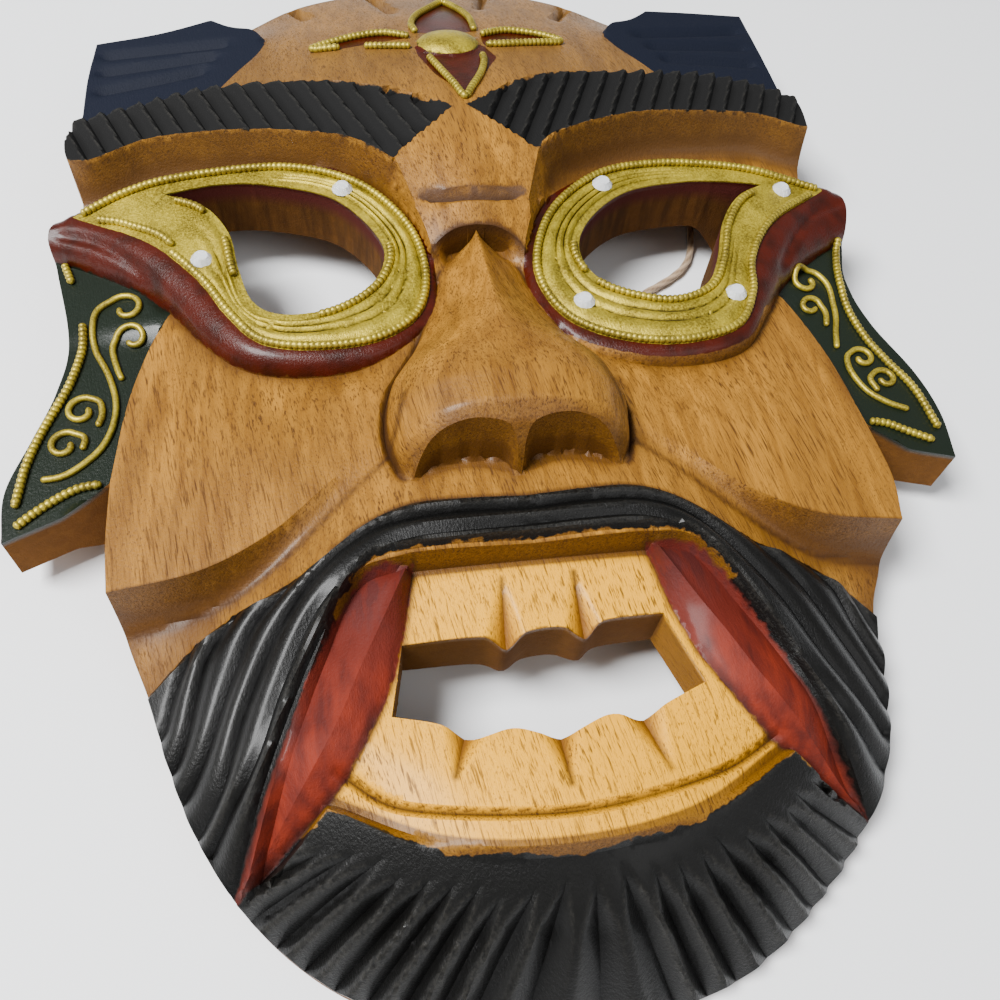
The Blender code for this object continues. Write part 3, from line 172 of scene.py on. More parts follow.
def swept(name, path, sides, reach, groove):
    """A tube along a path. reach gives its radius, and groove how deep it lies in its grooves, at each
    distance along it and each angle round it."""
    path = np.array(path)
    run = np.concatenate([[0], np.cumsum(np.linalg.norm(np.diff(path, axis=0), axis=1))])
    ahead = np.gradient(path, axis=0)
    ahead /= np.linalg.norm(ahead, axis=1)[:, None]
    aside = np.cross(ahead[0], (0.0, 0.0, 1.0) if abs(ahead[0][2]) < 0.9 else (1.0, 0.0, 0.0))
    asides = []
    for way in ahead:
        aside = aside - way * aside.dot(way)
        aside /= np.linalg.norm(aside)
        asides.append(aside)
    asides = np.array(asides)
    above = np.cross(asides, ahead)
    bm = bmesh.new()
    bmesh.ops.create_grid(bm, x_segments=len(path) - 1, y_segments=sides, size=1)
    layer = bm.verts.layers.float.new("groove")
    for vert in bm.verts:
        k = round((vert.co.x + 1) / 2 * (len(path) - 1))
        angle = math.pi * (vert.co.y + 1)
        radius = reach(run[k], angle)
        vert[layer] = groove(run[k], angle)
        vert.co = path[k] + radius * (math.cos(angle) * asides[k] + math.sin(angle) * above[k])
    bmesh.ops.remove_doubles(bm, verts=bm.verts, dist=1e-7)
    bmesh.ops.holes_fill(bm, edges=bm.edges, sides=0)
    bmesh.ops.triangulate(bm, faces=[face for face in bm.faces if len(face.verts) > 4])
    bmesh.ops.recalc_face_normals(bm, faces=bm.faces)
    for face in bm.faces:
        face.smooth = True
    return linked(name, meshed(name, bm))


def twine_path():
    levels = np.linspace(TWINE_HOLE_TOP - TWINE_CLEAR, TWINE_LEVEL + TWINE_BEND, 3)
    drop = [(TWINE_HOLE_UP, z) for z in levels]
    for angle in np.linspace(0, math.pi / 2, 4)[1:]:
        drop.append((TWINE_HOLE_UP - TWINE_BEND * (1 - math.cos(angle)),
                     TWINE_LEVEL + TWINE_BEND * (1 - math.sin(angle))))
    route = [(TWINE_HOLE_OUT, y, z) for y, z in drop]
    route += [(x / 1000, y / 1000, TWINE_LEVEL) for x, y in TWINE_ROUTE]
    route += [(-TWINE_HOLE_OUT, y, z) for y, z in drop[::-1]]
    return curve(route, 0.0005)


def ply(along, angle):
    """One on the crest of a ply, and nothing between two plies."""
    return abs(math.cos(1.5 * angle + math.pi * along / TWINE_TURN))


def twine_reach(along, angle):
    return TWINE_DIAMETER / 2 * (0.80 + 0.20 * ply(along, angle))


def twine_groove(along, angle):
    return 1 - ply(along, angle)


def twine_material():
    made, tree, shader = new_material("natural_twine", Roughness=0.85)
    shader.inputs["Sheen Weight"].default_value = 0.3
    place = add(tree, "TexCoord").outputs["Object"]
    fibre = add(tree, "TexNoise", {"Vector": place, "Scale": 2600.0, "Detail": 3.0})
    groove = add(tree, "Attribute", attribute_name="groove")
    tint = add(tree, "ValToRGB", {"Fac": fibre.outputs["Fac"]})
    tint.color_ramp.elements[0].color = (0.30, 0.19, 0.10, 1)
    tint.color_ramp.elements[1].color = (0.66, 0.50, 0.34, 1)
    # Painted shade: the twine darker brown between its plies.
    shade = add(tree, "Mix", {"A": tint.outputs["Color"], "B": (0.16, 0.09, 0.04, 1)}, data_type="RGBA")
    tree.links.new(groove.outputs["Fac"], shade.inputs["Factor"])
    tree.links.new(shade.outputs[2], shader.inputs["Base Color"])
    bump = add(tree, "Bump", {"Height": fibre.outputs["Fac"], "Strength": 0.5, "Distance": 0.0002})
    tree.links.new(bump.outputs["Normal"], shader.inputs["Normal"])
    return made


twine_line = twine_path()
twine = swept("hanging_twine", twine_line, 12, twine_reach, twine_groove)
twine.data.materials.append(twine_material())
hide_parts("twine")
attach(twine, "root")


# Carved mask
# One piece of wood, sawn to its outline, carved on the front, hollowed at the back and pierced at the eyes
# and mouth. It is drawn in millimetres. Its surface is built here anew, in the imported solid's shape with
# all its finer carving, and the imported solid is hidden.
def blend(tree, factor, low, high):
    """A colour between two colours."""
    low, high = (c if isinstance(c, bpy.types.NodeSocket) else (*c, 1) for c in (low, high))
    return add(tree, "Mix", {0: factor, 6: low, 7: high}, data_type="RGBA").outputs[2]


def reckon(tree, operation, a, b=0.0, c=0.0):
    """The result of one sum on values."""
    return add(tree, "Math", {0: a, 1: b, 2: c}, operation=operation).outputs[0]


def spread(tree, value, low, high, new_low=0.0, new_high=1.0):
    """A value stretched from one range to another, kept between its ends."""
    return add(tree, "MapRange", {0: value, 1: low, 2: high, 3: new_low, 4: new_high}).outputs[0]


def speckle(tree, place, stretch, scale, detail=3.0, bend=0.0, rough=0.5):
    """Noise on a place that is first stretched along each axis."""
    spot = add(tree, "Mapping", {"Vector": place, "Scale": stretch})
    return add(tree, "TexNoise", {"Vector": spot.outputs[0], "Scale": scale, "Detail": detail,
                                  "Distortion": bend, "Roughness": rough}).outputs["Fac"]


def ragged_paint():
    """Where paint covers: a brushed edge that wanders, from the distance in from the drawn edge."""
    group = bpy.data.node_groups.new("ragged_paint", "ShaderNodeTree")
    for name, kind, value in (("Distance", "NodeSocketFloat", 0.0), ("Wander", "NodeSocketFloat", 0.6),
                              ("Softness", "NodeSocketFloat", 0.3), ("Place", "NodeSocketVector", None)):
        socket = group.interface.new_socket(name, in_out="INPUT", socket_type=kind)
        if value is not None:
            socket.default_value = value
    group.interface.new_socket("Cover", in_out="OUTPUT", socket_type="NodeSocketFloat")
    given = group.nodes.new("NodeGroupInput").outputs
    noise = speckle(group, given["Place"], (1, 1, 1), 0.55, 4.0)
    moved = reckon(group, "MULTIPLY_ADD", reckon(group, "SUBTRACT", noise, 0.5),
                   reckon(group, "MULTIPLY", given["Wander"], 4.0), given["Distance"])
    cover = spread(group, moved, 0.0, given["Softness"])
    group.links.new(cover, group.nodes.new("NodeGroupOutput").inputs["Cover"])
    return group


def gilding():
    """Old gold paint: brass yellow on top and browner in patches, with painted shade making it dark where it
    lies in a groove.
    """
    group = bpy.data.node_groups.new("gilding", "ShaderNodeTree")
    group.interface.new_socket("Place", in_out="INPUT", socket_type="NodeSocketVector")
    group.interface.new_socket("Groove", in_out="INPUT", socket_type="NodeSocketFloat")
    for name, kind in (("Colour", "NodeSocketColor"), ("Roughness", "NodeSocketFloat"),
                       ("Height", "NodeSocketFloat")):
        group.interface.new_socket(name, in_out="OUTPUT", socket_type=kind)
    given = group.nodes.new("NodeGroupInput").outputs
    patches = spread(group, speckle(group, given["Place"], (1, 1, 1), 0.16, 4.0), 0.36, 0.66)
    grains = speckle(group, given["Place"], (1, 1, 1), 2.2, 3.0)
    colour = blend(group, patches, (0.15, 0.105, 0.010), (0.42, 0.32, 0.025))
    colour = blend(group, spread(group, grains, 0.35, 0.75, 0.0, 0.5), colour, (0.72, 0.58, 0.06))
    # Painted shade: the gold nearly black where it lies in a groove.
    colour = blend(group, given["Groove"], colour, (0.026, 0.018, 0.003))
    made = group.nodes.new("NodeGroupOutput").inputs
    group.links.new(colour, made["Colour"])
    group.links.new(spread(group, grains, 0.3, 0.7, 0.34, 0.56), made["Roughness"])
    group.links.new(grains, made["Height"])
    return group


RAGGED_PAINT = ragged_paint()
GILDING = gilding()


def millimetres(tree):
    """The place on the object, in millimetres."""
    place = add(tree, "TexCoord").outputs["Object"]
    return add(tree, "VectorMath", {0: place, 1: (1000, 1000, 1000)}, operation="MULTIPLY").outputs[0]


def use(tree, group, **inputs):
    """The outputs of a shader group set in a material."""
    return add(tree, "Group", inputs, node_tree=group).outputs


FINE_STEP = 0.8
BAND_STEP = 0.7
PLAIN_STEP = 1.4
BACK_STEP = 2.6
WALL_ROWS = (0.0, 0.34, 0.67, 1.0)
RIM_WIDTH = 12.0
HOLLOW_DEPTH = 13.0
HOLLOW_SLOPE = 14.0
NOSE_POCKET = 9.0
NOSE_POCKET_SIZE = (13, 22)
NOSE_POCKET_MIDDLE = -14
EAR_UNDERSIDE = 6.0
CULL = 16.0
LIP_DEPTH = 1.7
CREASE = math.radians(33)
FANG_FOOT = 0.8
FANG_PAINT_REACH = 4.5
FROWN_SHADE = 0.7
# How far the dark red goes in from the gold, on the right and on the left, and further at the temples
RED_REACH = (2.6, 40.0)
RED_REACH_AT_TEMPLE = 30
TEMPLE_ACROSS = (58, 72)
TEMPLE_UP = (2, 20)
TEMPLE_GROOVES = [[(-97, 40.5), (-86, 35.5), (-77, 27.5), (-69, 16)],
                  [(97, 38.5), (87, 34), (79, 26), (71, 14)]]
# Depth and half width of the carved grooves
TEMPLE_CUT = (1.1, 1.9)
NOSE_CUT = (1.0, 1.1)
FROWN_CUT = (1.9, 1.5)
CROWN_CUT = (2.2, 2.0)
WING_CUT = (1.5, 2.2)
FLUTE_MARGIN = 1.9
FLUTES = ((0.0, 0.46), (0.46, 0.72), (0.72, 1.0))
FLUTE_RISE = 0.85
FLUTE_ROWS = (0.0, 0.1, 0.23, 0.36, 0.46, 0.52, 0.59, 0.66, 0.72, 0.79, 0.86, 0.93, 1.0)


def outline(runs, step=1.0):
    """A closed outline of rounded runs that meet at corners."""
    return np.vstack([curve(run, step)[:-1] for run in runs])


def mirrored(points):
    """The same points on the other half of the face."""
    return [(-x, *rest) for x, *rest in points]


def paired(right):
    """The same loop on the right and on the left half of the face."""
    return right, np.array(mirrored(right))


def whole(half):
    """A loop round the whole face, from its right half drawn from one end of the middle line to the other."""
    return np.vstack([half, np.array(mirrored(half[::-1]))[1:-1]])


def nearby(x, y, line):
    """Which points are near enough to a line to matter to it."""
    (low_x, low_y), (high_x, high_y) = np.min(line, axis=0) - CULL, np.max(line, axis=0) + CULL
    return (x > low_x) & (x < high_x) & (y > low_y) & (y < high_y)


def inside(x, y, loop):
    """Distance in from a closed outline: positive inside it, negative outside."""
    out = np.full(x.shape, -CULL)
    near = nearby(x, y, np.array(loop))
    px, py = x[near], y[near]
    best = np.full(px.shape, 1e9)
    within = np.zeros(px.shape, bool)
    for (ax, ay), (bx, by) in zip(loop, np.roll(loop, -1, axis=0)):
        dx, dy = bx - ax, by - ay
        if dx == dy == 0:
            continue
        t = np.clip(((px - ax) * dx + (py - ay) * dy) / (dx * dx + dy * dy), 0, 1)
        best = np.minimum(best, (px - ax - t * dx) ** 2 + (py - ay - t * dy) ** 2)
        if dy != 0:
            within ^= ((ay > py) != (by > py)) & (px < dx * (py - ay) / dy + ax)
    out[near] = np.where(within, np.sqrt(best), -np.sqrt(best))
    return out


def beside(x, y, line):
    """Distance from an open line, and the share of its length at the nearest point."""
    line = np.array(line, float)
    steps = np.linalg.norm(np.diff(line, axis=0), axis=1)
    starts = np.concatenate([[0], np.cumsum(steps)])
    near = nearby(x, y, line)
    px, py = x[near], y[near]
    best = np.full(px.shape, 1e9)
    share = np.zeros(px.shape)
    for (ax, ay), (bx, by), start, length in zip(line[:-1], line[1:], starts, steps):
        dx, dy = bx - ax, by - ay
        t = np.clip(((px - ax) * dx + (py - ay) * dy) / (dx * dx + dy * dy), 0, 1)
        d = np.hypot(px - ax - t * dx, py - ay - t * dy)
        share = np.where(d < best, (start + t * length) / starts[-1], share)
        best = np.minimum(best, d)
    distance, along = np.full(x.shape, CULL), np.zeros(x.shape)
    distance[near], along[near] = best, share
    return distance, along


def ramp(value, low, high):
    """0 below low, 1 above high, and an even curve between."""
    t = np.clip((value - low) / (high - low), 0, 1)
    return t * t * (3 - 2 * t)


def draped(heights):
    """A smooth surface through chosen heights on the right half and their mirror images."""
    p = np.array(heights + [(-x, y, z) for x, y, z in heights if x > 0], float)
    size = len(p)

    def bend(dx, dy):
        r2 = dx * dx + dy * dy
        return r2 * np.log(r2 + 1e-9)

    system = np.zeros((size + 3, size + 3))
    system[:size, :size] = bend(p[:, 0, None] - p[None, :, 0], p[:, 1, None] - p[None, :, 1])
    system[:size, size:] = np.column_stack([np.ones(size), p[:, 0], p[:, 1]])
    system[size:, :size] = system[:size, size:].T
    weights = np.linalg.solve(system, np.concatenate([p[:, 2], np.zeros(3)]))

    def surface(x, y):
        total = weights[size] + weights[size + 1] * x + weights[size + 2] * y
        for (px, py, _), weight in zip(p, weights):
            total = total + weight * bend(x - px, y - py)
        return total

    return surface


# The sawn outline, corner to corner, drawn clockwise from the left end of the crown
CROWN = [(-53, 116), (-38.5, 125.5), (-20, 132.5), (0, 135), (20, 132.5), (38.5, 124.5), (56, 114.5)]
RIGHT_SIDE = [
    [(56, 114.5), (72, 115.5), (90, 116)],
    [(90, 116), (91, 97), (91.5, 79)],
    [(91.5, 79), (93.5, 73), (92.5, 63), (90, 52.5)],
    [(90, 52.5), (91, 44.5)],
    [(91, 44.5), (95.8, 40.5), (96, 35.5), (94.6, 28.5)],
    [(94.6, 28.5), (91.5, 17), (93.5, 3), (99, -12), (101, -24), (100, -36)],
    [(100, -36), (90, -33), (79.6, -28.5)],
    [(79.6, -28.5), (80.8, -42), (79.2, -52.5)],
    [(79.2, -52.5), (76.5, -59), (73, -67), (70.5, -82), (66, -97), (58, -109), (46, -120), (30, -130),
     (14, -134), (0, -135)],
]
LEFT_SIDE = [
    [(0, -135), (-14, -134), (-30, -129.5), (-44, -122), (-56, -110.5), (-64.5, -96.5), (-70, -82),
     (-73.5, -70), (-77, -60), (-79.2, -52.5)],
    [(-79.2, -52.5), (-79.8, -42), (-79.6, -28.5)],
    [(-79.6, -28.5), (-90, -33), (-100.5, -37.5)],
    [(-100.5, -37.5), (-101, -26), (-97, -14), (-93, -2), (-91.3, 12), (-95.5, 34)],
    [(-95.5, 34), (-96.5, 39), (-95, 43.5)],
    [(-95, 43.5), (-91, 45.5)],
    [(-91, 45.5), (-90.5, 54)],
    [(-90.5, 54), (-93, 62), (-93, 71), (-91, 79)],
    [(-91, 79), (-90.8, 94), (-89.5, 108.5)],
    [(-89.5, 108.5), (-72, 110.5), (-53, 116)],
]

# Eyes: the gold band's outer edge, the hole, and the foot of the red wall round the band
EYES = {
    "left": {
        "band": [[(-91, 43), (-79, 49), (-60.5, 53.5), (-41, 54.5), (-25, 48), (-14.5, 34), (-11.4, 19),
                  (-14.5, 6), (-24, -1), (-37, -2.5), (-49, 0), (-56, 8), (-63, 20), (-74, 32), (-91, 43)]],
        "hole": [[(-70, 46.5), (-59, 49), (-47, 48.5), (-31, 42.5), (-21.5, 28), (-23.5, 17), (-33, 9.5),
                  (-44, 8), (-50.5, 12), (-53.5, 22), (-55.5, 33), (-61, 42), (-70, 46.5)]],
        "wall": [[(-93, 45), (-79, 50.0), (-60.5, 54.4), (-41, 55.3), (-24.5, 48.5), (-13.9, 34.4),
                  (-10.0, 19), (-13, 4.5), (-24, -4.5), (-38, -6.5), (-52, -3.5), (-62, 5.5), (-70, 17),
                  (-79, 25.5), (-96, 36), (-106, 38), (-106, 46), (-93, 45)]],
    },
    "right": {
        "band": [[(91.5, 41.5), (78, 45.8), (63.5, 49.6), (47.5, 51), (32, 47.6), (18.5, 35.5), (12.2, 18),
                  (16, 3.5), (27, -4.4), (42, -7), (56, -3.5), (62.5, 6), (65.5, 17), (74, 29),
                  (91.5, 41.5)]],
        "hole": [[(74, 41.7), (64, 43.3), (53.5, 43.7), (39, 41), (28, 32), (24, 22), (28, 12.5), (41, 7),
                  (51, 9.5), (56, 17), (60.5, 29), (66.5, 37.5), (74, 41.7)]],
        "wall": [[(92, 44), (78, 46.9), (63.5, 50.7), (47.5, 52.1), (31.2, 48.8), (16.9, 36.6), (10.2, 18),
                  (14.5, 1.5), (26, -8), (42, -10.5), (57, -7), (66.5, 4), (74, 14), (84, 22.5), (95, 29.5),
                  (106, 34), (106, 42), (92, 44)]],
    },
}
BROWS = {
    "left": {
        "top": [(-93, 74), (-74, 78), (-60, 80), (-45, 79), (-29, 74.5), (-16, 68), (-0.5, 58.5)],
        "foot": [(-17.5, 44.4), (-22.6, 49.6), (-28.6, 54.2), (-44, 59.3), (-58, 61.7), (-74, 62),
                 (-87.5, 57.5), (-95, 60)],
    },
    "right": {
        "top": [(95, 74), (88, 78), (72, 81.8), (51, 80.5), (31, 76.5), (17, 71), (0.5, 58.5)],
        "foot": [(17, 45.5), (21, 50.5), (31, 56.5), (46, 62), (61, 64.2), (78, 65), (90, 61.5), (97, 62)],
    },
}
MOUTH_HOLE = [
    [(-26, -70), (-12, -70.3), (-7, -72.3), (-3, -70.3), (3, -70), (8, -71.8), (12, -69.5), (23.5, -69)],
    [(23.5, -69), (28.5, -83)],
    [(28.5, -83), (21, -86), (15, -88.6), (9, -87.5), (0, -90.4), (-8, -88), (-15, -88.8), (-21, -85.5),
     (-29, -83)],
    [(-29, -83), (-26, -70)],
]
MOUTH_FIELD = [
    [(-23, -54.5), (0, -54.8), (22, -54.5)],
    [(22, -54.5), (32, -56), (41, -69), (50, -87), (59.5, -108.5)],
    [(59.5, -108.5), (51, -104), (42, -97)],
    [(42, -97), (22, -107), (0, -110.2), (-22, -107), (-41, -97)],
    [(-41, -97), (-48, -103), (-57, -108.5)],
    [(-57, -108.5), (-49, -89), (-41, -70), (-34, -57), (-23, -54.5)],
]
FANG = {
    "edge": [[(22.5, -55.5), (32, -56.8), (40.8, -70.4), (49.3, -88), (59, -108.3)],
             [(59, -108.3), (49, -101), (38, -92.5), (29.8, -80), (26, -70), (22.5, -55.5)]],
    "ridge": [(24, -57), (33, -73), (41, -87.5), (57, -106.5)],
}
TOOTH_NOTCHES = [[(-6.3, -59.5), (-7, -73)], [(7.5, -59.5), (8, -73)]]
LIP_NOTCHES = [[(-16, -86), (-19.2, -95)], [(0, -87), (0, -99)], [(15, -86), (18, -98)]]
NOTCH_DEPTH = 3.2
NOTCH_FOOT = 0.8
NOTCH_SPREAD = 3.3
LIP_GROOVE_DEPTH = 1.0
LIP_GROOVE_REACH = 1.2
LIP_GROOVE = [(-39, -91), (-27, -99), (0, -103.5), (26, -99.5), (41, -93)]
HAIR_TOP = [(0, -44.6), (12, -43.8), (22, -43.6), (31, -46.5), (40, -52), (47, -55.2), (55, -57),
            (63, -60.5), (70, -65.5), (78, -72)]
HAIR_FOOT = [(59.5, -109), (49.8, -87), (41, -69), (32, -56), (22, -53.8), (0, -54)]
CHEEK_EDGE = [(79.2, -52.5), (62, -51), (48.5, -45), (37, -35.5), (28, -27.5), (25.3, -21)]
CHEEK_SIDE = [(62, 26), (70, 15), (76.5, -6), (79.6, -28.5)]
NOSE_SIDE = [(0, 26.6), (5.5, 23.6), (9.5, 18), (12.5, 8), (18, -5), (23.5, -15), (25.3, -25), (24, -33),
             (20.5, -38.3), (0.6, -38.8)]
NOSTRIL = [(0.5, -38.7), (0.9, -36.6), (2.4, -35.0), (6, -33.9), (10.5, -33.5), (15.5, -34.2), (19, -36),
           (21.2, -38.6)]
EAR_BACK = [(102, 37), (88, 30), (79, 18), (76.5, 2), (78.5, -15), (79.6, -28.5)]
BODY_EDGE = [(0, 134), (30, 128), (53, 117), (74, 109), (86, 93), (89, 70), (87, 46), (80, 26), (75, 8),
             (77, -20), (78, -45), (72, -68), (68, -84), (62, -98), (54, -110), (42, -121), (24, -130),
             (0, -134)]
BRIDGE_FOOT = [(13, 19.5), (9.5, 24), (5, 26.3), (0, 26.8)]
WING = [(59, 79), (53, 88), (47.5, 96), (45.6, 103), (48.5, 108.5), (56, 112), (70, 125)]

# Heights above the table that each part of the face is carved to
CHEEK_HEIGHT = draped([(14, 12, 26.5), (30, -6, 24.5), (45, -6, 23.5), (61, 3, 22.5), (75, 20, 21),
                       (78, 0, 22), (79, -25, 23), (79, -52, 23), (62, -51, 25.5), (48, -45, 27),
                       (37, -36, 28), (28, -28, 28.5), (27, -12, 27), (50, -25, 26.5)])
MUZZLE_HEIGHT = draped([(0, -39, 31.5), (0, -47, 32), (0, -54, 31.5), (20, -36, 30), (28, -31, 28),
                        (24, -48, 31), (38, -41, 26), (40, -56, 27.5), (50, -50, 21.5), (50, -75, 22.5),
                        (62, -56, 16), (60, -72, 17), (76, -57, 12), (72, -68, 10.5), (70, -84, 9),
                        (65, -97, 8.5), (58, -92, 16.5), (57, -109, 8), (45, -103, 19), (45, -120, 7),
                        (30, -113, 19), (30, -129, 7), (12, -114, 22.5), (0, -114, 23), (14, -133, 6.5),
                        (0, -124, 16.5), (0, -134, 6.5), (36, -119, 13.5)])
SOCKET_HEIGHT = draped([(9, 20, 26.5), (12, 34, 27), (17, 43, 28.5), (30, 52, 25.5), (45, 58, 24),
                        (60, 59, 22.5), (77, 58, 21), (88, 54, 19.5), (90, 45, 19), (60, 10, 22)])
FOREHEAD_HEIGHT = draped([(0, 58, 40.5), (17, 45.5, 38), (0, 46, 39.5), (0, 35.5, 37), (10, 35, 35),
                          (0, 27, 33.5), (7, 26.5, 32.5), (12, 21, 28.5), (0, 75, 38), (0, 88, 35.5),
                          (0, 110, 29.5), (0, 135, 20), (30, 80, 35.5), (30, 110, 27.5), (38, 124, 22),
                          (50, 108, 25), (50, 85, 30.5), (75, 85, 25), (88, 100, 20), (52, 117, 20.5)])
RIDGE_HEIGHT = [(26.8, 32.2), (20, 33.8), (10, 36.5), (-10, 42.5), (-24, 46), (-31, 45.6), (-35, 43),
                (-37.4, 38), (-38.8, 33)]
NOSE_HALF_WIDTH = [(26.8, 1), (24, 5.5), (18, 9.5), (8, 12.5), (-5, 18), (-15, 23.5), (-25, 25.3), (-33, 24),
                   (-38.3, 20.5), (-40, 18)]
EAR_HEIGHT = 18.5
BAND_HEIGHT = 28.0
BAND_TIP_DROP = 2.5
WING_HEIGHT = 29.0
WING_FALL = (0.10, 0.03)
BROW_HEIGHT = 40.5
BROW_FALL = 0.128
TEETH_HEIGHT = 26.5
TEETH_BOW = 0.0045
TEETH_LEAN = 1.2
LIP_RISE = 1.5
FANG_RISE = 4.0
FANG_FALL = 0.45
COVE_WIDTH = 6.0
WALL_WIDTH = 1.0
MOUTH_WALL_WIDTH = 1.6
CHEEK_WALL_WIDTH = 4.5
BOSS_CENTRE = (0.8, 89.4)
BOSS_SIZE = (8.0, 6.8)
BOSS_RISE = 2.6

# Carved lines
BROW_GROOVES = 17
BROW_GROOVE_SPAN = (9, 88)
BROW_GROOVE_LEAN = 0.42
BROW_GROOVE_DEPTH = 1.5
BROW_GROOVE_SIDES = (0.9, 4.2)
BEARD_CUTS = 22
BEARD_CUT_DEPTH = 3.2
BEARD_SLOPE = 0.56
BEARD_CUT_START = 0.34
BEARD_SEED = 7
BEARD_LEAD = (0.02, 0.13)
BEARD_BOW = (-0.25, 0.25)
BEARD_LEAN = [(0, 0), (0.1, 0.05), (0.34, 0.27), (0.45, 0.37), (0.5, 0.455), (0.555, 0.6), (0.67, 0.7),
              (0.77, 0.81), (1, 1)]
HAIR_RISE = 2.0
STRAND_DEPTH = 1.7
STRAND_SLOPE = 0.42
HAIR_CUTS = {
    "right": [
        HAIR_FOOT[::-1],
        [(0, -51.2), (12, -51.0), (22, -51.4), (30.5, -54.6), (36.5, -61.2), (42, -70.6), (47.5, -79.8),
         (56, -90.5), (64, -99)],
        [(0, -47.8), (12, -47.0), (24, -47.4), (33, -51.2), (42, -60.4), (48.5, -68.3), (55.5, -81),
         (66, -92.5)],
        [(0, -44.6), (12, -43.8), (22, -43.6), (31, -46.5), (40, -52), (47, -56.6), (54, -63.2),
         (60, -74), (66.5, -84), (71, -91)],
        [(52, -55.6), (62, -62.2), (66.5, -73), (72.5, -84)],
        [(65.5, -61.5), (71, -71.5), (75, -80)],
    ],
    "left": [
        mirrored(HAIR_FOOT[::-1]),
        [(0, -51.2), (-13, -51.6), (-21.3, -51.8), (-28, -53.2), (-35, -57.4), (-42, -64.4), (-48, -76),
         (-53, -87.5), (-62, -99.5)],
        [(0, -47.8), (-11, -47.1), (-21, -47.3), (-30, -48.8), (-39, -54.2), (-47.6, -63.6), (-54.6, -77.4),
         (-59.5, -90.4), (-66, -98)],
        [(0, -44.6), (-12, -43.8), (-22, -43.6), (-31, -46.5), (-40, -52), (-46, -56), (-52.8, -61.5),
         (-57.2, -71), (-63.2, -85), (-70, -93)],
        [(-55, -56.8), (-61.9, -65), (-66.6, -80), (-72, -88)],
        [(-64.4, -61), (-68.6, -70), (-71, -77), (-75, -83)],
    ],
}
CROWN_CUTS = [[(-38.5, 125.5), (-34, 115)], [(-17, 133.3), (-11, 113)], [(17, 133.3), (13, 116)],
              [(39.5, 124), (33.5, 111)]]
FROWN_LINES = [[(-11.8, 35.0), (-6, 33.9), (0, 33.5), (6, 33.8), (11.8, 34.8)]]

# Lines that the gold threads lie along, and the middles of the stones
SWEEP_ROPE = [(-85.0, 40.8), (-80.0, 38.8), (-76.3, 36.6), (-70.9, 33.3), (-67.6, 29.8)]
OUTER_ROPE_END = {"left": (-71.5, 29.8), "right": (90.0, 40.6)}
INNER_ROPES = {
    "left": [((-55.2, 19.3), (-57.9, 31.2)), ((-62.0, 38.3), (-68.0, 46.0)), ((-20.8, 27.2), (-38.8, 8.1))],
    "right": [((22.6, 24.8), (23.6, 15.3)), ((25.0, 11.9), (71.0, 38.5))],
}
EAR_ROPES = {
    "left": [
        [(-93.6, 34.5), (-91.6, 28.5)],
        [(-88.3, 16.0), (-88.2, 9.0), (-90.0, 0.4), (-92.4, -6.0), (-95.0, -12.6), (-97.2, -20),
         (-98.6, -30)],
        [(-98.2, -34.6), (-95.0, -31.8), (-91.0, -28.9), (-86.6, -26.6), (-82.2, -26.0)],
    ],
    "right": [
        [(92.8, 29.0), (89.8, 18.7), (88.9, 8.0), (90.2, -1.0), (93.0, -8.6), (96.8, -17.0), (98.6, -28.6)],
        [(83.0, -25.2), (87.0, -26.2), (91.0, -28.6), (96.4, -31.6)],
    ],
}
EAR_SCROLLS = {
    "left": [
        ((-79.2, 19.0), -1, [(-81.6, 22.4), (-85.4, 19.5), (-86.2, 14.6), (-85.4, 8.8), (-82.4, 1.9),
                             (-80.5, -5.2), (-80.7, -11.4), (-82.6, -16.8), (-85.9, -20.6),
                             (-89.9, -23.3), (-94.2, -23.9)]),
        ((-77.6, 11.2), -1, [(-80.8, 12.3), (-81.8, 8.8), (-80.6, 3.4), (-79.4, 0.2)]),
        ((-87.2, -7.4), 1, [(-86.4, -3.9), (-83.8, -5.2), (-83.1, -8.6), (-83.9, -11.6)]),
        ((-90.2, -15.8), 1, [(-89.2, -12.6), (-86.3, -14.2), (-86.6, -17.2)]),
    ],
    "right": [
        ((80.4, 15.8), 1, [(80.8, 19.6), (84.0, 18.4), (85.9, 14.0), (85.4, 6.4), (83.6, 0.6), (82.4, -4.0)]),
        ((79.9, 9.0), 1, [(82.2, 10.2), (83.0, 6.8), (82.0, 2.8)]),
        ((87.6, -7.4), -1, [(86.2, -5.0), (84.0, -6.8), (83.5, -11.0), (85.4, -16.6), (89.2, -20.4),
                            (93.6, -22.8)]),
        ((90.9, -13.8), -1, [(89.2, -11.7), (87.4, -13.6), (88.2, -17.2)]),
    ],
}
CURL_END = 1.0
CURL_TURN = 5.6
DIADEM = {
    "right": [(9.9, 94.2), (16.9, 97.3), (25.5, 96.0), (31.0, 92.2), (22.2, 89.6), (14.6, 88.2),
              (10.4, 87.9)],
    "left_top": [(-8.6, 93.8), (-15.5, 96.9), (-23.8, 95.7), (-33.6, 91.4), (-26.6, 90.2)],
    "left_low": [(-20.6, 89.3), (-14.4, 88.3), (-8.9, 87.6)],
    "bottom": [(-5.0, 81.6), (-2.9, 75.0), (-0.6, 67.9), (1.5, 61.8), (4.0, 66.2), (6.9, 72.4), (8.6, 78.6),
               (8.6, 82.4)],
    "top": [(-6.8, 96.6), (-7.4, 102.0), (-5.6, 108.2), (-1.6, 114.6), (3.0, 120.6), (6.4, 114.8),
            (8.6, 106.5), (8.8, 97.4)],
}
STONES = {
    "left": [(-29.2, 45.4), (-61.4, 25.2)],
    "right": [(33.4, 43.1), (79.0, 40.2), (22.0, 6.4), (57.6, 6.3)],
}


def brow_loop(brow):
    """The outline of one painted brow, wide of the sawn edge at its outer end."""
    return np.vstack([curve(brow["top"])[:-1], curve(brow["foot"])])


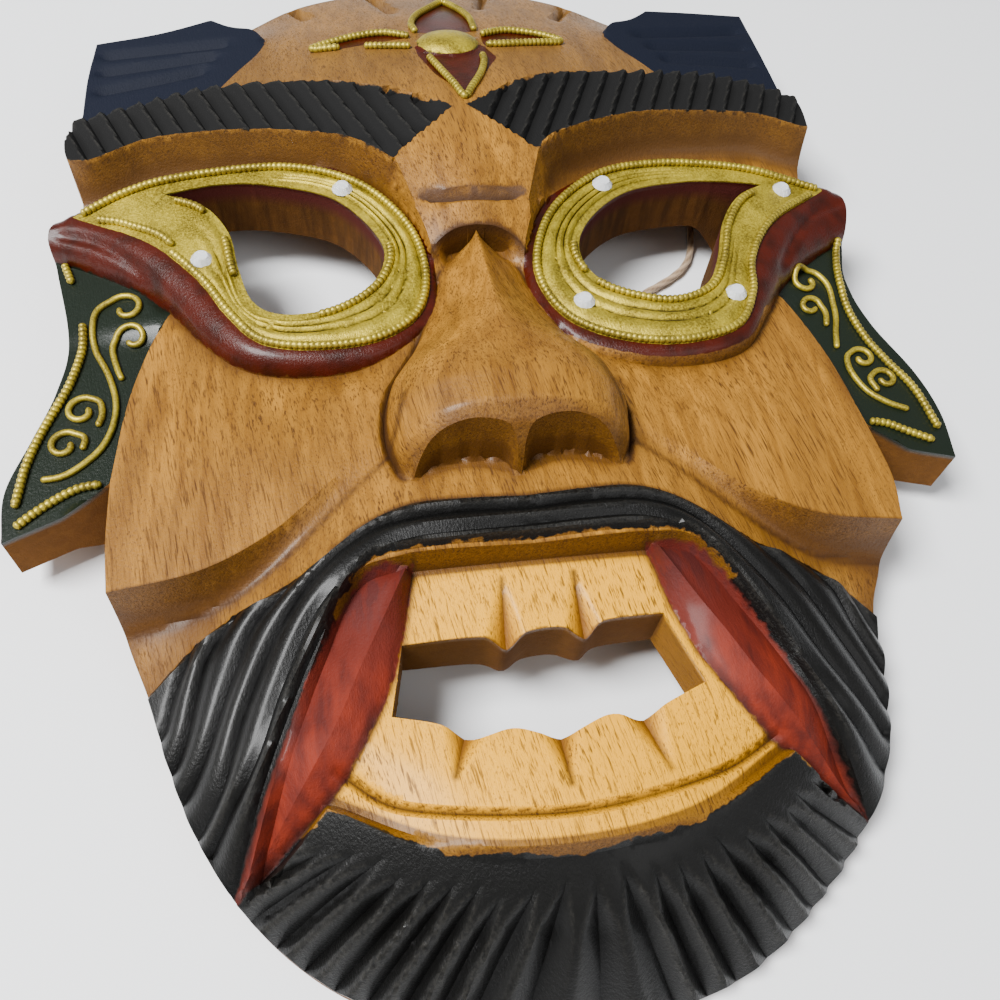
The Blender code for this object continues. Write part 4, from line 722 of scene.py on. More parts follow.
def brow_grooves():
    """The slanting cuts across both brows."""
    cuts = []
    first, last = BROW_GROOVE_SPAN
    for side, brow in BROWS.items():
        sign = -1 if side == "left" else 1
        loop = brow_loop(brow)
        for number in range(BROW_GROOVES):
            reach = first + number * (last - first) / (BROW_GROOVES - 1)
            y = np.linspace(40, 90, 101)
            x = sign * (reach + BROW_GROOVE_LEAN * (y - 60))
            keep = inside(x, y, loop) > 0.6
            if keep.sum() > 8:
                cuts.append(np.stack([x[keep], y[keep]], axis=1)[[0, keep.sum() // 2, -1]])
    return cuts


def strand_cuts():
    """The cuts between the strands of the moustache and the side hair. One that meets its like on the other
    side is a single cut across both."""
    sides = [[curve(cut) for cut in HAIR_CUTS[side]] for side in ("left", "right")]
    joined = [np.vstack([a[:0:-1], b]) for a, b in zip(*sides) if a[0][0] == 0]
    return joined + [cut for side in sides for cut in side if cut[0][0] != 0]


def beard_cuts():
    """The gouged cuts that spread from the lower lip to the edge of the chin."""
    jaw = curve([(-61, -103), (-46, -120), (-30, -129.5), (0, -135), (30, -130), (46, -120), (62, -103)], 1.0)
    lip = curve([(-44, -100), (-22, -108.5), (0, -111.5), (22, -108.5), (45, -100)], 1.0)
    draw = np.random.default_rng(BEARD_SEED)
    cuts = []
    for number in range(BEARD_CUTS):
        share = (number + 0.5) / BEARD_CUTS
        start = lip[int(share * (len(lip) - 1))]
        end = jaw[int(np.interp(share, *np.array(BEARD_LEAN).T) * (len(jaw) - 1))]
        lead = draw.uniform(*BEARD_LEAD)
        start = start + (end - start) * lead
        bow = draw.uniform(*BEARD_BOW)
        middle = 0.5 * (start + end) + bow * np.array([end[1] - start[1], start[0] - end[0]]) / 14
        cuts.append(curve([start, middle, end + 0.15 * (end - start)], 2.0))
    return cuts


def wing_grooves(side):
    """The long cuts on one blue wing."""
    tops = (109, 101, 93) if side == "right" else (103, 96, 88)
    sign = 1 if side == "right" else -1
    return [np.array([(sign * (53 + 3 * k), 103 - 5 * k), (sign * 72, 0.5 * (103 - 5 * k + top)),
                      (sign * 90, top)]) for k, top in enumerate(tops)]


def carve(height, x, y, cuts, depth, half_width):
    """Cut V grooves along lines into a surface."""
    deepest = np.zeros(x.shape)
    for cut in cuts:
        d, share = beside(x, y, cut)
        ends = ramp(np.minimum(share, 1 - share), -0.02, 0.12)
        deepest = np.maximum(deepest, depth * np.clip(1 - d / half_width, 0, 1) * ends)
    return height - deepest


def gouged(x, y, cuts, depth, slope, lead):
    """How far round-topped strands lie below their tops: sharp along the cuts, full half way between them."""
    found = [beside(x, y, cut) for cut in cuts]
    away = np.array([d for d, _ in found])
    nearest = away.argmin(axis=0)[None]
    pitch = np.partition(away, 1, axis=0)[:2].sum(axis=0)
    share = np.take_along_axis(np.array([along for _, along in found]), nearest, 0)[0]
    started = ramp(share, -0.02, lead) if lead else np.ones(x.shape)
    half = 0.5 * pitch * (0.15 + 0.85 * started) + 0.05
    out = np.clip(away.min(axis=0) / half, 0, 1)
    profile = np.clip(1 - 1.2 * out, 0, 1) if lead else 1 - np.sin(0.5 * np.pi * out)
    return np.minimum(depth, slope * pitch) * started * profile


def sawn_teeth(height, x, y, cuts, depth, steep, gentle):
    """Cut lines into a surface with one steep and one gentle side, as a chisel set aslant leaves them."""
    deepest = np.zeros(x.shape)
    for cut in cuts:
        d, _ = beside(x, y, cut)
        ahead = cut[-1] - cut[0]
        side = (x - cut[0][0]) * ahead[1] - (y - cut[0][1]) * ahead[0]
        deepest = np.maximum(deepest, depth * np.clip(1 - d / np.where(side > 0, gentle, steep), 0, 1))
    return height - deepest


def notched(x, y):
    """How deep each point lies in the notches between the teeth, from nothing to one."""
    deepest = np.zeros(x.shape)
    for tip, mouth_end in TOOTH_NOTCHES + [line[::-1] for line in LIP_NOTCHES]:
        d, share = beside(x, y, np.array([tip, mouth_end]))
        deepest = np.maximum(deepest, share * np.clip(1 - d / (NOTCH_FOOT + NOTCH_SPREAD * share), 0, 1))
    return deepest


def brow_loops():
    return [brow_loop(brow) for brow in BROWS.values()]


def eye_loops(name):
    """The loops of one name of both eyes."""
    return [outline(eye[name]) for eye in EYES.values()]


def depth_in(x, y, loops):
    """How far inside any of some loops each point lies."""
    return np.maximum.reduce([inside(x, y, np.array(loop)) for loop in loops])


def muzzle_loop():
    edge = curve(CHEEK_EDGE)
    half = np.vstack([[(95, -150), (95, -54)], edge])
    return np.vstack([half, np.array(mirrored(half[::-1]))])


def forehead_loop():
    half = [(110, 68), (91, 66), (61, 66), (31, 60), (17, 45.5), (13.2, 34), (13, 19.5)]
    return np.vstack([half, curve(BRIDGE_FOOT)[1:-1], mirrored(curve(BRIDGE_FOOT)[::-1]),
                      mirrored(half[-2::-1]), [(-110, 150), (110, 150)]])


def hair_loop():
    half = np.vstack([curve(HAIR_TOP), [(95, -75), (95, -135), (56, -135), (59.5, -109)], curve(HAIR_FOOT)])
    return whole(half)


def nose_loop():
    side = curve(NOSE_SIDE)
    return np.vstack([side, np.array(mirrored(side[::-1]))[:-1]])


def wing_loops():
    return paired(np.vstack([curve(WING), [(110, 125), (110, 70)]]))


def ear_loops():
    return paired(np.vstack([curve(CHEEK_SIDE), [(110, -45), (110, 46)]]))


def fang_loops():
    return paired(outline(FANG["edge"]))


def band_flutes(x, y, from_edge, from_hole):
    """The smooth ridges modelled along the wide part of a gold band, between its two ropes."""
    width = from_edge + from_hole - 2 * FLUTE_MARGIN
    across = np.clip((from_edge - FLUTE_MARGIN) / np.maximum(width, 0.1), 0, 1)
    strength = ramp(width, 2.5, 5.0) * ramp(-np.abs(x), -66, -54)
    swell = np.zeros(x.shape)
    for start, end in FLUTES:
        share = np.clip((across - start) / (end - start), 0, 1)
        swell = np.maximum(swell, np.sin(np.pi * share) ** 0.75)
    return FLUTE_RISE * strength * swell


def relief(x, y):
    """The height of the carved face over each point of the drawing."""
    ax = np.abs(x)

    # Cheeks, with the muzzle cut down below their lower edges
    h = CHEEK_HEIGHT(x, y)
    d = inside(x, y, muzzle_loop())
    muzzle = MUZZLE_HEIGHT(x, y)
    cheek_wall = np.clip(d / CHEEK_WALL_WIDTH, 0, 1)
    h = np.where(d > 0, h + (muzzle - h) * (1 - (1 - cheek_wall) ** 1.8), h)

    # Ears, lower than the cheeks
    for loop in ear_loops():
        h += (EAR_HEIGHT - h) * np.clip(inside(x, y, loop) / WALL_WIDTH, 0, 1)

    # Eye sockets, with a cove up to the brows and the bridge
    forehead = forehead_loop()
    in_forehead = inside(x, y, forehead)
    in_brow = depth_in(x, y, brow_loops())
    brow_top = BROW_HEIGHT - BROW_FALL * ax
    socket = SOCKET_HEIGHT(x, y)
    up = np.clip(1 + np.maximum(in_forehead, in_brow) / COVE_WIDTH, 0, 1) ** 2.0
    top = np.where(ax > 17, brow_top, FOREHEAD_HEIGHT(x, y))
    in_socket = ramp(y, 9, 15) * ramp(ax, 6, 9)
    h += (socket + (top - socket) * up - h) * in_socket
    under_panel = np.clip(1 + in_forehead / WALL_WIDTH, 0, 1) * (ax < 13) * (y > 15)
    h += (FOREHEAD_HEIGHT(x, y) - h) * under_panel

    # Forehead, bridge of the nose and crown
    h = np.where(in_forehead > 0, FOREHEAD_HEIGHT(x, y), h)
    h = carve(h, x, y, FROWN_LINES, *FROWN_CUT)
    h = carve(h, x, y, CROWN_CUTS, *CROWN_CUT)
    bx, by = BOSS_CENTRE
    from_boss = np.hypot((x - bx) / BOSS_SIZE[0], (y - by) / BOSS_SIZE[1])
    h += BOSS_RISE * np.sqrt(np.clip(1 - from_boss ** 2, 0, 1))

    # Blue wings and black brows
    for side, loop in zip(("right", "left"), wing_loops()):
        d = inside(x, y, loop)
        wing = WING_HEIGHT - WING_FALL[0] * (ax - 46) - WING_FALL[1] * (y - 80)
        wing = carve(wing, x, y, wing_grooves(side), *WING_CUT)
        h += (wing - h) * np.clip(d / WALL_WIDTH, 0, 1) * (in_forehead > 0)
    brow = sawn_teeth(brow_top, x, y, brow_grooves(), BROW_GROOVE_DEPTH, *BROW_GROOVE_SIDES)
    diamond = ax < 18
    h = np.where(in_brow > 0, h + (brow - h) * np.clip(in_brow / WALL_WIDTH + diamond, 0, 1), h)

    # Eye bands with the red wall that slopes from them
    for eye in EYES.values():
        band = inside(x, y, outline(eye["band"]))
        wall = inside(x, y, outline(eye["wall"]))
        band_top = BAND_HEIGHT - BAND_TIP_DROP * ramp(ax, 70, 92)
        slope = np.clip(wall / (wall - band + 1e-6), 0, 1)
        roll = np.sqrt(1 - (1 - slope) ** 2)
        flutes = np.where(band > 0, band_flutes(x, y, band, -inside(x, y, outline(eye["hole"]))), 0)
        h = np.where(wall > 0, h + (band_top + flutes - h) * np.where(band > 0, 1, roll), h)

    h = carve(h, x, y, [curve(line) for line in TEMPLE_GROOVES], *TEMPLE_CUT)

    # Nose
    across = ax / np.interp(-y, [-v for v, _ in NOSE_HALF_WIDTH], [w for _, w in NOSE_HALF_WIDTH])
    ridge = np.interp(-y, [-v for v, _ in RIDGE_HEIGHT], [z for _, z in RIDGE_HEIGHT])
    full = ramp(-y, -8, 22)
    roof = (1 - across.clip(0, 1)) ** 1.1
    bulb = (1 - across.clip(0, 1) ** 2.7) ** 0.62
    in_nose = inside(x, y, nose_loop())
    nose = h + (ridge - h) * (roof * (1 - full) + bulb * full)
    h = np.where(in_nose > 0, np.maximum(h, nose), h)
    nose_sides = [np.array([turn, 1]) * curve(NOSE_SIDE)[30:-22] for turn in (1, -1)]
    h = carve(h, x, y, nose_sides, *NOSE_CUT)
    arch = np.interp(ax, [p[0] for p in NOSTRIL], [p[1] for p in NOSTRIL])
    under = np.clip((arch - y) / WALL_WIDTH, 0, 1) * (ax > 0.5) * (ax < 21.2) * (y > -42)
    h += (np.minimum(h, muzzle) - h) * under

    # Moustache and side hair, one raised bed cut into strands
    in_hair = inside(x, y, hair_loop())
    hair = muzzle + HAIR_RISE - gouged(x, y, strand_cuts(), STRAND_DEPTH, STRAND_SLOPE, 0)
    h = np.where(in_hair > 0, h + (hair - h) * np.clip(in_hair / WALL_WIDTH, 0, 1), h)

    # Teeth and lower lip, with the mouth field sunk below the moustache
    in_mouth = inside(x, y, outline(MOUTH_FIELD))
    lip_line, _ = beside(x, y, curve(LIP_GROOVE))
    rise = ramp(-y, 84, 104)
    teeth = TEETH_HEIGHT + LIP_RISE * rise - TEETH_BOW * ax ** 2 * (0.4 + rise)
    teeth += TEETH_LEAN * (1 - rise) * ramp(-y, 70, 56)
    teeth -= LIP_GROOVE_DEPTH * np.clip(1 - lip_line / LIP_GROOVE_REACH, 0, 1)
    teeth -= NOTCH_DEPTH * notched(x, y)
    h = np.where(in_mouth > 0, h + (teeth - h) * np.clip(in_mouth / MOUTH_WALL_WIDTH, 0, 1), h)

    # Beard below the lip, then the fangs over everything
    cut = h - gouged(x, y, beard_cuts(), BEARD_CUT_DEPTH, BEARD_SLOPE, BEARD_CUT_START)
    h = np.where((in_mouth < 0) & (inside(x, y, np.array(BEARD)) > 0), cut, h)
    for sign, loop in zip((1, -1), fang_loops()):
        d = inside(x, y, loop)
        keel, share = beside(x, y, curve([(sign * px, py) for px, py in FANG["ridge"]]))
        rise = (1 - FANG_FALL * share) * FANG_RISE
        h += rise * np.clip(d / (d + keel + 1e-6), 0, 1) ** 0.8 * np.clip(d / FANG_FOOT, 0, 1)
    return h


SAWN_EDGE = outline([CROWN] + RIGHT_SIDE + LEFT_SIDE)
HOLES = [outline(EYES["left"]["hole"]), outline(EYES["right"]["hole"]), outline(MOUTH_HOLE)]
BEARD = [(-95, -100), (-72, -106), (-57, -108.5), (-48, -103), (-41, -97), (-22, -107), (0, -110.2),
         (22, -107), (42, -97), (51, -104), (59.5, -108.5), (72, -106), (95, -100), (95, -150), (-95, -150)]
DIADEM_FIELD = [(-7.5, 82.7), (-4.6, 73.7), (0, 65.7), (6.8, 70.5), (12.4, 81.3), (10, 88), (0, 90), (-8, 88)]


def shifted(line, distance, closed=False):
    """The same line moved sideways, to the left of its run."""
    p = np.array(line, float)
    run = np.roll(p, -1, axis=0) - np.roll(p, 1, axis=0) if closed else np.gradient(p, axis=0)
    run /= np.linalg.norm(run, axis=1)[:, None] + 1e-9
    return p + distance * np.stack([-run[:, 1], run[:, 0]], axis=1)


def rim_loop():
    """The inner edge of the flat rim of the back."""
    return shifted(whole(curve(BODY_EDGE, 4.0)), -RIM_WIDTH, closed=True)


def hollow(x, y):
    """The height of the back: flat on the rim, raised under the ears, hollow inside."""
    from_nose = (x / NOSE_POCKET_SIZE[0]) ** 2 + ((y - NOSE_POCKET_MIDDLE) / NOSE_POCKET_SIZE[1]) ** 2
    pocket = NOSE_POCKET * np.exp(-from_nose)
    depth = (HOLLOW_DEPTH + pocket) * ramp(inside(x, y, rim_loop()), 0, HOLLOW_SLOPE)
    for ear in paired(np.vstack([curve(EAR_BACK), [(110, -45), (110, 37)]])):
        depth += (EAR_UNDERSIDE - depth) * np.clip(inside(x, y, ear) / WALL_WIDTH, 0, 1)
    return depth


def flute_lines(band, hole):
    """Lines along the crests and valleys of a band's smooth ridges, where the band is wide."""
    lines = []
    nearest = np.array([band[np.hypot(*(band - p).T).argmin()] for p in hole])
    width = np.hypot(*(nearest - hole).T)
    wide = (width > 2 * FLUTE_MARGIN + 2.6) & (np.abs(hole[:, 0]) < 60)
    first = int(np.argmin(wide))
    order = [(first + k) % len(hole) for k in range(len(hole))]
    for share in FLUTE_ROWS:
        reach = (FLUTE_MARGIN + share * (width - 2 * FLUTE_MARGIN)) / width
        points = nearest + (hole - nearest) * reach[:, None]
        run = []
        for k in order + [first]:
            if wide[k]:
                run.append(points[k])
                continue
            if len(run) > 3:
                lines.append(curve(run[::3], 0.9))
            run = []
    return lines


def carving_lines():
    """Lines and loops of the carving that the mesh follows closely."""
    lines = []
    loops = []
    for side in (1, -1):
        turn = np.array([side, 1])
        edge = curve(CHEEK_EDGE)
        bridge = np.array([(17, 45.5), (13.2, 34), (13, 19.5)] + list(map(tuple, curve(BRIDGE_FOOT)[1:])))
        wing = curve(WING)
        top = curve(HAIR_TOP)
        arch = curve(NOSTRIL)
        ear = curve(CHEEK_SIDE)
        for line in (edge, bridge, wing, shifted(wing, -WALL_WIDTH), top, shifted(top, -WALL_WIDTH),
                     curve(HAIR_FOOT), arch, shifted(arch, -WALL_WIDTH), ear, shifted(ear, WALL_WIDTH),
                     curve(NOSE_SIDE), curve(FANG["ridge"])):
            lines.append(turn * line)
        lines.append(turn * shifted(curve(BRIDGE_FOOT), WALL_WIDTH))
        loops.append(turn * outline(FANG["edge"]))
    for side, brow in BROWS.items():
        lines += [curve(brow["foot"]), curve(brow["top"])]
        lines += wing_grooves(side)
    lines += brow_grooves() + FROWN_LINES + CROWN_CUTS + strand_cuts() + beard_cuts()
    lines += [shifted(curve(LIP_GROOVE), way) for way in (-LIP_GROOVE_REACH, 0, LIP_GROOVE_REACH)]
    lines += TOOTH_NOTCHES + LIP_NOTCHES
    field = outline(MOUTH_FIELD)
    loops += [field, shifted(field, -MOUTH_WALL_WIDTH, closed=True)]
    for eye in EYES.values():
        loops += [outline(eye["band"]), outline(eye["wall"])]
        lines += flute_lines(outline(eye["band"]), outline(eye["hole"]))
    return [np.array(line, float) for line in lines], loops


def in_steps(line, step=1.0):
    """A line with points added so that none of its edges is long."""
    out = [line[:1]]
    for a, b in zip(line[:-1], line[1:]):
        count = max(1, round(float(np.hypot(*(b - a))) / step))
        out.append(a + (b - a) * np.linspace(0, 1, count + 1)[1:, None])
    return np.vstack(out)


def strung(lines, loops):
    """Points and edges of open lines and closed loops."""
    points = []
    edges = []
    for line, closed in [(line, False) for line in lines] + [(loop, True) for loop in loops]:
        first = len(points)
        points += [tuple(p) for p in line]
        edges += [(k, k + 1) for k in range(first, len(points) - 1)]
        if closed:
            edges.append((len(points) - 1, first))
    return points, edges


def rows_of_points(fixed, step, clear, wanted=None):
    """Points in staggered rows, clear of the given ones, and only where they are wanted."""
    tree = kdtree.KDTree(len(fixed))
    for number, (x, y) in enumerate(fixed):
        tree.insert((x, y, 0), number)
    tree.balance()
    rows = np.arange(-135, 135, 0.87 * step)
    spots = np.array([(x, y) for row, y in enumerate(rows)
                      for x in np.arange(-101, 101, step) + (row % 2) * step / 2])
    keep = inside(*spots.T, SAWN_EDGE) > 0
    if wanted is not None:
        keep[keep] = wanted(spots[keep, 0], spots[keep, 1])
    return [tuple(p) for p in spots[keep] if tree.find((p[0], p[1], 0))[2] > clear]


def finely_carved(x, y):
    """Where the carving is fine: brows, hair, beard, teeth, fangs, gold bands and nose."""
    loops = [hair_loop(), BEARD, outline(MOUTH_FIELD), nose_loop()] + brow_loops() + eye_loops("wall")
    return depth_in(x, y, loops) > -1.5


def on_bands(x, y):
    """Where the gold bands lie."""
    return depth_in(x, y, eye_loops("band")) > 0


def triangulated(points, edges, border, merge):
    """Flat triangles on the wood side of the border edges, keeping every given edge."""
    found = geometry.delaunay_2d_cdt([Vector(p) for p in points], edges, [], 0, merge)
    xy = np.array([tuple(v) for v in found[0]])
    faces = [tuple(f) for f in found[2]]
    beyond = {frozenset(edge) for edge, sources in zip(found[1], found[4]) if border.intersection(sources)}
    sharing = {}
    for number, face in enumerate(faces):
        for k in range(3):
            sharing.setdefault(frozenset((face[k], face[k - 1])), []).append(number)
    mx, my = xy[np.array(faces)].mean(axis=1).T
    depth = np.minimum(inside(mx, my, SAWN_EDGE), -depth_in(mx, my, HOLES))
    kept = {int(depth.argmax())}
    waiting = list(kept)
    while waiting:
        face = faces[waiting.pop()]
        for k in range(3):
            side = frozenset((face[k], face[k - 1]))
            if side not in beyond:
                fresh = [n for n in sharing[side] if n not in kept]
                kept.update(fresh)
                waiting += fresh
    return xy, np.array([faces[n] for n in sorted(kept)]), found[3]


def carved_mask():
    """The mask's mesh. Level is 0 on the carved front, rises down the sawn walls and is 9 on the back."""
    lines, loops = carving_lines()
    lines = [in_steps(line) for line in lines]
    drawn_edges = strung(lines, loops)[1]
    points, edges = strung(lines, loops + [SAWN_EDGE] + HOLES)
    points += rows_of_points(points, BAND_STEP, 0.5 * BAND_STEP, on_bands)
    points += rows_of_points(points, FINE_STEP, 0.6 * FINE_STEP, finely_carved)
    points += rows_of_points(points, PLAIN_STEP, 0.6 * PLAIN_STEP)
    border = set(range(len(drawn_edges), len(edges)))
    xy, faces, _ = triangulated(points, edges, border, 0.12)
    heights = relief(xy[:, 0], xy[:, 1])
    bm = bmesh.new()
    level = bm.verts.layers.float.new("level")
    verts = {k: bm.verts.new((xy[k, 0], xy[k, 1], heights[k])) for k in np.unique(faces)}
    for face in faces:
        bm.faces.new([verts[k] for k in face])

    edge = [item for item in bm.edges if item.is_boundary]
    ring = {(round(v.co.x, 4), round(v.co.y, 4)): v.co.z for item in edge for v in item.verts}
    feet = dict(zip(ring, hollow(*np.array(list(ring)).T)))
    for row, share in enumerate(WALL_ROWS, 1):
        made = bmesh.ops.extrude_edge_only(bm, edges=edge)["geom"]
        order = {vert: k for k, vert in enumerate(v for v in made if isinstance(v, bmesh.types.BMVert))}
        edge = [item for item in made if isinstance(item, bmesh.types.BMEdge)
                and all(v in order for v in item.verts)]
        for vert in order:
            key = (round(vert.co.x, 4), round(vert.co.y, 4))
            lip = min(LIP_DEPTH, 0.3 * (ring[key] - feet[key]))
            vert.co.z = ring[key] - lip - share * (ring[key] - lip - feet[key])
            vert[level] = row
    foot = list(order)
    foot_points = [(v.co.x, v.co.y) for v in foot]
    ear_back = [np.array([side, 1]) * shifted(curve(EAR_BACK), way)
                for side in (1, -1) for way in (0, WALL_WIDTH)]
    drawn = np.array(strung(ear_back, [in_steps(rim_loop())])[0])
    clear = np.minimum.reduce([np.abs(inside(*drawn.T, loop)) for loop in [SAWN_EDGE] + HOLES])
    within = inside(*drawn.T, SAWN_EDGE) > 0
    spots = foot_points + [tuple(p) for p in drawn[(clear > 0.8) & within]]
    spots += rows_of_points(spots, BACK_STEP, 1.4)
    links = [(order[item.verts[0]], order[item.verts[1]]) for item in edge]
    xy, faces, sources = triangulated(spots, links, set(range(len(links))), 1e-5)
    heights = hollow(xy[:, 0], xy[:, 1])
    back = {}
    for k in np.unique(faces):
        source = min(sources[k]) if sources[k] else len(spots)
        back[k] = foot[source] if source < len(foot) else bm.verts.new((xy[k, 0], xy[k, 1], heights[k]))
        if source >= len(foot):
            back[k][level] = 9
    for face in faces:
        bm.faces.new([back[k] for k in face[::-1]])
    bmesh.ops.recalc_face_normals(bm, faces=bm.faces)
    return bm


def crease_lines():
    """The creases along which a dark line of painted shade is drawn."""
    lines = [curve(LIP_GROOVE)] + FROWN_LINES + [np.array(notch) for notch in TOOTH_NOTCHES + LIP_NOTCHES]
    for turn in (1, -1):
        for line in (curve(NOSE_SIDE)[12:-22], shifted(curve(CHEEK_EDGE), CHEEK_WALL_WIDTH),
                     curve(BRIDGE_FOOT), curve(HAIR_TOP)[:40], curve(FANG["edge"][1])):
            lines.append(np.array([turn, 1]) * line)
    return lines


def region_distances(x, y, z):
    """How far in from the drawn edge of each painted region every point lies, in millimetres."""
    def reach(*loops):
        return depth_in(x, y, loops)

    outer = np.abs(x) > np.interp(-y, [-py for _, py in FANG["ridge"]], [px for px, _ in FANG["ridge"]])
    beside_fang = np.minimum(reach(*fang_loops()) + FANG_PAINT_REACH, np.where(outer, -64 - y, -99.5 - y))
    bx, by = BOSS_CENTRE
    boss = 6.0 * (1 - np.hypot((x - bx) / BOSS_SIZE[0], (y - by) / BOSS_SIZE[1]))
    petals = [curve(line + [line[0]]) for name, line in DIADEM.items() if name != "left_low"]
    bands = reach(*eye_loops("band"))
    at_temple = ramp(np.abs(x), *TEMPLE_ACROSS) * ramp(y, *TEMPLE_UP)
    red_reach = np.where(x > 0, *RED_REACH) + RED_REACH_AT_TEMPLE * at_temple
    walls = np.minimum.reduce([reach(*eye_loops("wall")), BAND_HEIGHT + 0.9 - z, bands + red_reach])
    return {
        "black": np.maximum(reach(*brow_loops(), hair_loop(), BEARD), beside_fang),
        "blue": np.where(y > 74, reach(*wing_loops()), -CULL),
        "green": reach(*ear_loops()),
        "maroon": np.maximum(walls, reach(DIADEM_FIELD, *petals)),
        "gold": np.maximum(bands, boss),
        "red": reach(*fang_loops()),
        "pale": reach(outline(MOUTH_FIELD)),
        "crease_shade": np.minimum.reduce([beside(x, y, line)[0] for line in crease_lines()]),
        "rim": -reach(*HOLES[:2]),
        "notch": beside(x, y - FROWN_SHADE, np.array(FROWN_LINES[0]))[0],
        "scoop": notched(x, y),
    }


def smoothed(heights, links, passes):
    """Heights averaged with their neighbours' several times."""
    a, b = links.T
    count = np.bincount(a, minlength=len(heights)) + np.bincount(b, minlength=len(heights))
    for _ in range(passes):
        total = np.bincount(a, heights[b], len(heights)) + np.bincount(b, heights[a], len(heights))
        heights = 0.5 * heights + 0.5 * total / np.maximum(count, 1)
    return heights


def mask_object():
    bm = carved_mask()
    for face in bm.faces:
        face.smooth = True
    for edge in bm.edges:
        if len(edge.link_faces) == 2 and edge.calc_face_angle(0) > CREASE:
            edge.smooth = False
    mesh = meshed("carved_mask", bm)
    count = len(mesh.vertices)
    co = np.empty(3 * count)
    mesh.vertices.foreach_get("co", co)
    co = co.reshape(count, 3)
    links = np.empty(2 * len(mesh.edges), np.int32)
    mesh.edges.foreach_get("vertices", links)
    links = links.reshape(-1, 2)
    level = np.empty(count)
    mesh.attributes["level"].data.foreach_get("value", level)
    front = level < 0.5
    links = links[front[links].all(axis=1)]
    values = region_distances(*co.T)
    values["cavity"] = np.where(front, smoothed(co[:, 2], links, 24) - co[:, 2], 0)
    values["fine"] = np.where(front, smoothed(co[:, 2], links, 2) - co[:, 2], 0)
    facing = np.empty(3 * count)
    mesh.vertices.foreach_get("normal", facing)
    values["end"] = -facing.reshape(count, 3)[:, 1]
    for name, found in values.items():
        mesh.attributes.new(name, "FLOAT", "POINT").data.foreach_set("value", found.astype(np.float32))
    mesh.vertices.foreach_set("co", (co / 1000).ravel())
    mesh.update()
    return linked("carved_mask", mesh)


# Paints and the tones of the wood
# Some tones are painted light: the darker ones for the hollows, creases, frown walls, tooth notches, crown,
# eye-hole walls and hair hollows are painted shade, and the lighter black on the hair's crests is rubbed
# paint with a painted highlight.
TONES = {
    "light wood": (0.37, 0.165, 0.018), "dark wood": (0.165, 0.071, 0.009),
    "wood band": (0.115, 0.042, 0.003), "pale teeth": (0.80, 0.365, 0.0),
    "dark end grain": (0.055, 0.020, 0.002), "end grain": (0.13, 0.052, 0.006),
    "pore": (0.040, 0.014, 0.003), "speck": (0.050, 0.017, 0.003),
    "hollow_shade": (0.065, 0.024, 0.003), "crease_shade": (0.030, 0.010, 0.002),
    "frown shade": (0.070, 0.036, 0.020), "tooth notch shade": (0.17, 0.062, 0.005),
    "crown": (0.095, 0.052, 0.018), "light sawn wood": (0.18, 0.070, 0.010),
    "dark sawn wood": (0.090, 0.033, 0.004), "eye hole": (0.030, 0.010, 0.001),
    "blue": (0.0032, 0.0050, 0.0125), "hair black": (0.0028, 0.0026, 0.0022),
    "brow black": (0.0052, 0.0051, 0.0050), "shaded deep black": (0.0007, 0.0006, 0.0005),
    "rubbed and highlit black": (0.026, 0.024, 0.020), "green": (0.0055, 0.0095, 0.0050),
    "maroon": (0.050, 0.0050, 0.0012), "dark maroon": (0.024, 0.0032, 0.0008),
    "fang red": (0.165, 0.017, 0.006), "dark fang red": (0.066, 0.008, 0.005),
    "fang stain": (0.040, 0.010, 0.010), "fang smoke": (0.012, 0.005, 0.004),
    "hole lip": (0.070, 0.012, 0.008),
}


